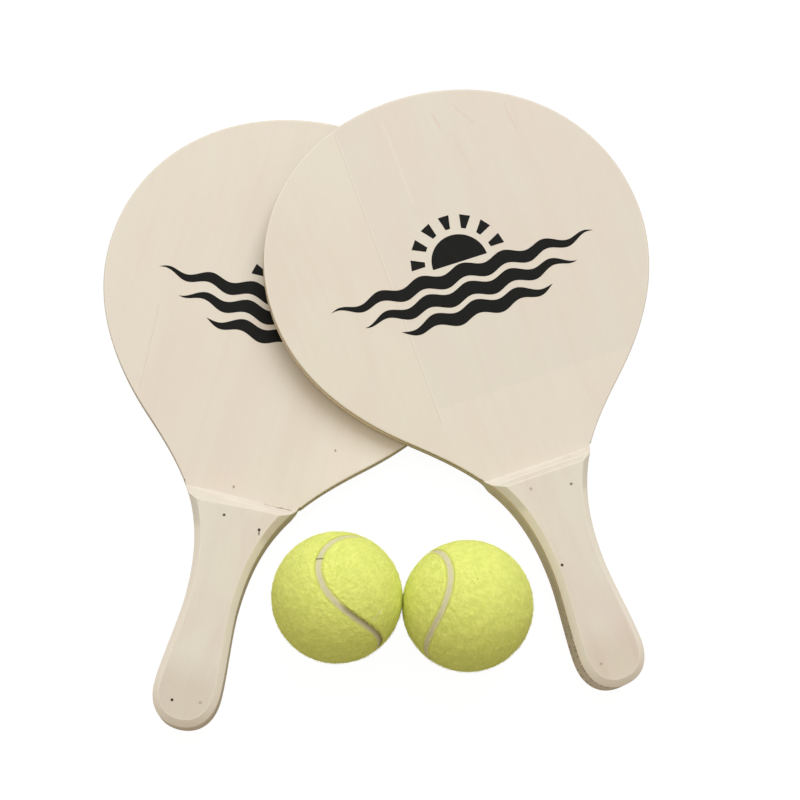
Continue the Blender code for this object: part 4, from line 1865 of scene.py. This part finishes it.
    def nap(self, felt: bpy.types.Material) -> None:
        """The loose fibres that stand out of the felt, each a slender bent spike of a few faces.

        Args:
            felt: their finish.
        """
        rng = np.random.default_rng(self.seed)
        ways = unit(rng.normal(size=(self.fibres, 3)))
        ways = ways[self.curve.angle_from(ways) * self.radius > self.seam_width / 2 + 0.1 * MM]
        lean = unit(np.cross(ways, unit(rng.normal(size=ways.shape))))
        edge_ways, edge_lean = self.edge_nap(rng)
        ways, lean = np.vstack((ways, edge_ways)), np.vstack((lean, edge_lean))
        count = len(ways)
        side = np.cross(ways, lean)
        length = self.fibre_length * rng.uniform(*self.fibre_lengths, (count, 1))
        tilt = rng.uniform(*self.fibre_tilts, (count, 1))
        base = ways * (self.radius - self.fibre_root)
        middle = base + length * 0.5 * (ways * (tilt + 0.25) + lean * 0.8)
        tip = middle + length * 0.5 * (ways * (tilt - 0.15) + lean)
        rings = []
        for centre, radius in ((base, self.fibre_radius), (middle, self.fibre_radius * 0.85)):
            for turn in range(3):
                angle = 2 * math.pi * turn / 3
                rings.append(centre + radius * (math.cos(angle) * side + math.sin(angle) * ways))
        rings.append(tip)
        points = np.stack(rings, axis=1).reshape(-1, 3)
        spike = np.array(((0, 2, 1), (0, 1, 4), (0, 4, 3), (1, 2, 5), (1, 5, 4), (2, 0, 3), (2, 3, 5),
                          (3, 4, 6), (4, 5, 6), (5, 3, 6)))
        faces = (spike[None] + 7 * np.arange(count)[:, None, None]).reshape(-1, 3)
        bench = mesh_object(f"{self.side.value}_ball_nap", points, faces.tolist())
        # Painted shade: each fibre's nap attribute is low at its base, so the finish darkens it there
        depth = bench.obj.data.attributes.new("nap", "FLOAT", "POINT")
        shares = np.tile((0.3, 0.3, 0.3, 0.8, 0.8, 0.8, 1.0), count)
        depth.data.foreach_set("value", shares.astype(np.float32))
        piece = bench.place(self.matrix)
        piece.data.materials.append(felt)
        hand_over(piece, Slot.FELT)

    def build(self) -> None:
        """Build the whole ball around its solids."""
        ball = f"{self.side.value}_ball"
        felt = self.felt.material(f"{ball}_felt", self.matrix, float(self.seed))
        self.panel(f"{ball}_felt_upper", False, felt)
        self.panel(f"{ball}_felt_lower", True, felt)
        self.nap(felt)
        self.seam(f"{ball}_seam", self.seam_finish.material(f"{ball}_seam_rubber", self.matrix))
        core = self.core_finish.material(f"{ball}_core_rubber", self.matrix)
        for half in ("upper", "lower"):
            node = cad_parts[f"{ball}_core_{half}"]
            node.data.materials.clear()
            node.data.materials.append(core)
            LOG.info("%s keeps its solid with a new finish", node.name)


# Each size of the felt's unevenness: waves a millimetre and how much it counts
TUFT_LAYERS = ((0.28, 0.4), (0.95, 0.75), (1.9, 0.2))


def tuft(place: Vector) -> float:
    """The felt's unevenness at a place in millimetres, around 0."""
    return sum(strength * noise.noise(place * scale) for scale, strength in TUFT_LAYERS)


# The studio


@dataclass(frozen=True)
class SoftBox:
    """A square lamp that is aimed at the middle of the set."""

    name: str
    place: tuple[float, float, float]
    size: float
    watts: float
    tint: tuple[float, float, float] = (0.93, 1.01, 1.13)

    def build(self) -> None:
        """Add the lamp."""
        clear_selection()
        bpy.ops.object.light_add(type="AREA", location=self.place)
        lamp = bpy.context.object
        lamp.name = self.name
        lamp.data.shape = "SQUARE"
        lamp.data.size = self.size
        lamp.data.energy = self.watts
        lamp.data.color = self.tint
        lamp.rotation_euler = (-Vector(self.place)).to_track_quat("-Z", "Y").to_euler()


SOFT_BOXES = (
    SoftBox("key_light", (0.45, 1.9, 2.1), 2.1, 49.0),
    SoftBox("fill_light", (-1.6, 0.9, 2.0), 1.8, 8.0),
    SoftBox("top_light", (0.0, 0.3, 2.6), 2.2, 7.0),
)


@dataclass
class Studio:
    """The floor, the soft lights and the camera."""

    balls_middle: Vector
    camera_from_balls: Vector = field(default_factory=lambda: Vector((-34.5, -128.4, 979.1)) * MM)
    camera_turn: tuple[float, float, float] = (math.radians(13.22), math.radians(-1.95), 0.0)
    lens: float = 90.0
    sensor: float = 36.0
    floor_size: float = 40.0
    floor_grey: float = 0.42
    floor_grey_to_camera: float = 0.12
    floor_glow: float = 0.95
    sky: Colour = (1.0, 0.88, 0.71, 1.0)
    sky_strength: float = 0.46

    def floor(self) -> None:
        """A wide floor, white to the camera with only a trace of shadow, and duller to the pieces."""
        clear_selection()
        bpy.ops.mesh.primitive_plane_add(size=self.floor_size, location=(0.0, 0.0, 0.0))
        floor = bpy.context.object
        floor.name = "studio_floor"
        material, graph, shader = new_material("studio_floor")
        seen = graph.add("LightPath").outputs["Is Camera Ray"]
        to_pieces = (*[self.floor_grey] * 3, 1.0)
        to_camera = (*[self.floor_grey_to_camera] * 3, 1.0)
        graph.feed(shader.inputs["Base Color"], graph.mix(seen, to_pieces, to_camera))
        shader.inputs["Roughness"].default_value = 0.9
        shader.inputs["Specular IOR Level"].default_value = 0.0
        shader.inputs["Emission Color"].default_value = (1.0, 1.0, 1.0, 1.0)
        graph.feed(shader.inputs["Emission Strength"], graph.math("MULTIPLY", seen, self.floor_glow))
        floor.data.materials.append(material)

    def build(self) -> None:
        """Set up the studio."""
        self.floor()
        for box in SOFT_BOXES:
            box.build()
        world = bpy.data.worlds.new("studio")
        bpy.context.scene.world = world
        world.use_nodes = True
        background = world.node_tree.nodes["Background"]
        background.inputs["Color"].default_value = self.sky
        background.inputs["Strength"].default_value = self.sky_strength
        bpy.context.scene.view_settings.view_transform = "Standard"
        clear_selection()
        bpy.ops.object.camera_add(
            location=self.balls_middle + self.camera_from_balls, rotation=self.camera_turn
        )
        camera = bpy.context.object
        camera.name = "photo_camera"
        camera.data.lens = self.lens
        camera.data.sensor_width = self.sensor
        bpy.context.scene.camera = camera


# The set: marks and patches are in a piece's own millimetres


# Pale lines: painted highlights across the ramps' foot and knee, and pale streaks on the right blade
PALE_STREAK_AND_HIGHLIGHT = srgb(243, 235, 219)
FINE_LINE = srgb(176, 160, 132)
FLECK = srgb(222, 196, 180)
SPOT = srgb(140, 112, 86)
HAIR = srgb(62, 48, 30)
SEAM_CREAM = srgb(222, 212, 182)
SEAM_DIRT = srgb(200, 190, 156)


def left_bat() -> Bat:
    """The left bat, which lies below.

    Returns:
        The bat with its marks, brads and finishes.
    """
    marks = (
        Mark((-5.0, -204.1, 7.0), (-4.9, -204.6, 7.0), 0.7, SPOT, 0.7),
        Mark((40.0, -173.0, 7.0), (40.2, -173.4, 7.0), 0.6, SPOT, 0.8),
        Mark((-67.5, -121.0, 7.0), (-65.0, -167.0, 7.0), 0.3, srgb(205, 188, 164), 0.35, 0.8, 0.4),
    )
    # Painted light: a soft patch that brightens the head's right shoulder
    painted_light_patch = Patch((22.0, -215.0), (100.0, -140.0), 26.0, (1.06, 1.06, 1.07, 1.0), 1.0)
    # The pale line across the ramp is a painted highlight on its knee
    grip_marks = (
        Mark((12.5, -209.6, 7.6), (26.5, -209.2, 7.4), 0.75, srgb(120, 96, 60), 0.85, 1.6, 0.42),
        Mark((13.9, -224.6, 14.8), (14.3, -226.4, 14.8), 0.45, srgb(70, 58, 40), 0.8, 0.2),
        Mark((-24.0, -212.3, 11.4), (25.0, -211.7, 11.4), 0.4, PALE_STREAK_AND_HIGHLIGHT, 0.6, 0.4),
        Mark((-22.0, -213.7, 13.0), (22.0, -212.5, 13.0), 0.22, FINE_LINE, 0.5, 0.5, 0.3),
        Mark((-21.0, -214.8, 14.1), (22.0, -213.2, 13.9), 0.22, FINE_LINE, 0.4, 0.5, 0.3),
    )
    worn_end = Patch((-30.0, -340.0), (30.0, -288.0), 22.0, (0.90, 0.87, 0.85, 1.0), 1.0)
    return Bat(
        side=Side.LEFT,
        brads=(
            BradPlace(-5.1 * MM, 106.5 * MM, putty=DARK_PLUG_AND_SHADE),
            BradPlace(13.8 * MM, 103.5 * MM),
            BradPlace(-5.4 * MM, 11.5 * MM),
            BradPlace(8.2 * MM, 13.6 * MM, putty=PALE_PUTTY),
        ),
        blade_finish=BareWood(VENEER, 11.0, marks=marks, patches=(painted_light_patch,), plywood=True),
        grip_finish=BareWood(
            GRIP_WOOD, 31.0, grip_marks, (worn_end,),
            rim_wear_and_highlight=0.3, chamfer_painted_light=0.85, saw_marks=0.25,
        ),
        seed=3.0,
        crest_slant=-0.061,
    )


def right_bat() -> Bat:
    """The right bat, which lies on top.

    Returns:
        The bat with its marks, brads and finishes.
    """
    marks = (
        Mark((-38.9, -10.0, 7.0), (-39.1, -173.0, 7.0), 0.32, srgb(205, 192, 168), 0.45, 0.5),
        Mark((-38.3, -10.0, 7.0), (-38.5, -173.0, 7.0), 0.35, PALE_STREAK_AND_HIGHLIGHT, 0.4, 0.5),
        Mark((-12.5, -11.0, 7.0), (-12.4, -56.0, 7.0), 0.6, PALE_STREAK_AND_HIGHLIGHT, 0.28, 0.9, 0.3),
        Mark((14.3, -13.5, 7.0), (15.6, -22.5, 7.0), 1.0, FLECK, 0.40, 3.0, 0.35),
        Mark((27.0, -13.0, 7.0), (33.5, -24.5, 7.0), 1.1, FLECK, 0.35, 3.5, 0.4),
        Mark((52.6, -20.0, 7.0), (54.2, -35.0, 7.0), 1.0, FLECK, 0.30, 3.0, 0.4),
        Mark((20.0, -26.0, 7.0), (24.0, -52.0, 7.0), 1.2, FLECK, 0.18, 3.5, 0.4),
    )
    patches = (
        Patch((-110.0, -180.0), (-38.8, 2.0), 0.6, (0.99, 1.0, 0.985, 1.0), 1.0),
        Patch((-38.8, -166.0), (106.0, 2.0), 0.7, (0.974, 0.977, 0.983, 1.0), 1.0),
    )
    # The pale lines across the ramp are painted highlights on its foot and knee
    grip_marks = (
        Mark((-26.0, -208.9, 7.4), (26.0, -208.9, 7.4), 0.35, PALE_STREAK_AND_HIGHLIGHT, 0.5, 0.4),
        Mark((-25.0, -212.0, 11.4), (25.0, -212.0, 11.4), 0.4, PALE_STREAK_AND_HIGHLIGHT, 0.6, 0.4),
        Mark((-22.0, -213.2, 12.6), (22.0, -213.1, 12.6), 0.22, FINE_LINE, 0.5, 0.5, 0.3),
        Mark((-21.0, -214.3, 13.7), (22.0, -214.2, 13.7), 0.22, FINE_LINE, 0.5, 0.5, 0.3),
        Mark((13.4, -287.0, 12.2), (14.2, -295.5, 12.2), 0.5, srgb(118, 96, 66), 0.8, 0.4),
    )
    worn_end = Patch((-30.0, -340.0), (30.0, -292.0), 22.0, (0.92, 0.88, 0.85, 1.0), 1.0)
    return Bat(
        side=Side.RIGHT,
        brads=(
            BradPlace(-9.6 * MM, 107.1 * MM, putty=PALE_PUTTY),
            BradPlace(10.7 * MM, 102.9 * MM, putty=GREY_PUTTY),
            BradPlace(-8.6 * MM, 65.9 * MM),
            BradPlace(-8.0 * MM, 13.5 * MM, putty=PALE_PUTTY),
        ),
        blade_finish=BareWood(VENEER, 47.0, marks=marks, patches=patches, plywood=True),
        grip_finish=BareWood(
            GRIP_WOOD, 67.0, grip_marks, (worn_end,),
            rim_wear_and_highlight=0.3, chamfer_painted_light=0.85, saw_marks=0.6,
        ),
        seed=9.0,
    )


def balls() -> tuple[FeltBall, FeltBall]:
    """The two balls, turned as they lie.

    Returns:
        The left ball and the right one.
    """
    edge_highlight_and_hair = (
        # A pale streak painted along the raised felt edge beside the seam, a painted highlight, and a hair
        # on the felt
        Mark((-30.8, -1.3, -8.7), (-29.1, -5.9, -12.0), 0.7, srgb(250, 252, 190), 0.7, 0.8),
        Mark((-13.0, -20.0, 21.2), (-14.5, -21.4, 18.8), 0.5, HAIR, 0.75, 0.5),
    )
    hair = Mark((-12.86, -19.79, 21.09), (-14.32, -21.18, 18.66), 0.6, HAIR, 0.75, 0.5)
    specked = (Mark((-8.3, -11.4, 28.7), (-8.0, -11.7, 28.7), 0.5, srgb(170, 164, 74), 0.7),)
    seam = Rubber(SEAM_CREAM, SEAM_DIRT)
    hair_seam = Rubber(SEAM_CREAM, SEAM_DIRT, marks=(hair,))
    core = Rubber(srgb(44, 44, 45), srgb(66, 64, 62))
    left = Euler([math.radians(d) for d in (-43.4, 57.9, 123.8)])
    right = Euler([math.radians(d) for d in (-36.4, 5.1, -53.4)])
    return (
        FeltBall(Side.LEFT, Felt(marks=edge_highlight_and_hair), hair_seam, core, left, seed=5, seam_shadow=(2.35, 3.42)),
        FeltBall(Side.RIGHT, Felt(marks=specked), seam, core, right, seed=8),
    )


def main() -> None:
    """Build the set around its solids, then the studio."""
    logging.basicConfig(level=logging.INFO, format="%(message)s")
    Groups.build()
    steel = BradSteel().material("brad_wire")
    left_bat().build(steel)
    right_bat().build(steel)
    pair = balls()
    for ball in pair:
        ball.build()
    middle = (pair[0].matrix.translation + pair[1].matrix.translation) / 2
    Studio(middle).build()
    clear_selection()


if __name__ == "__main__":
    main()
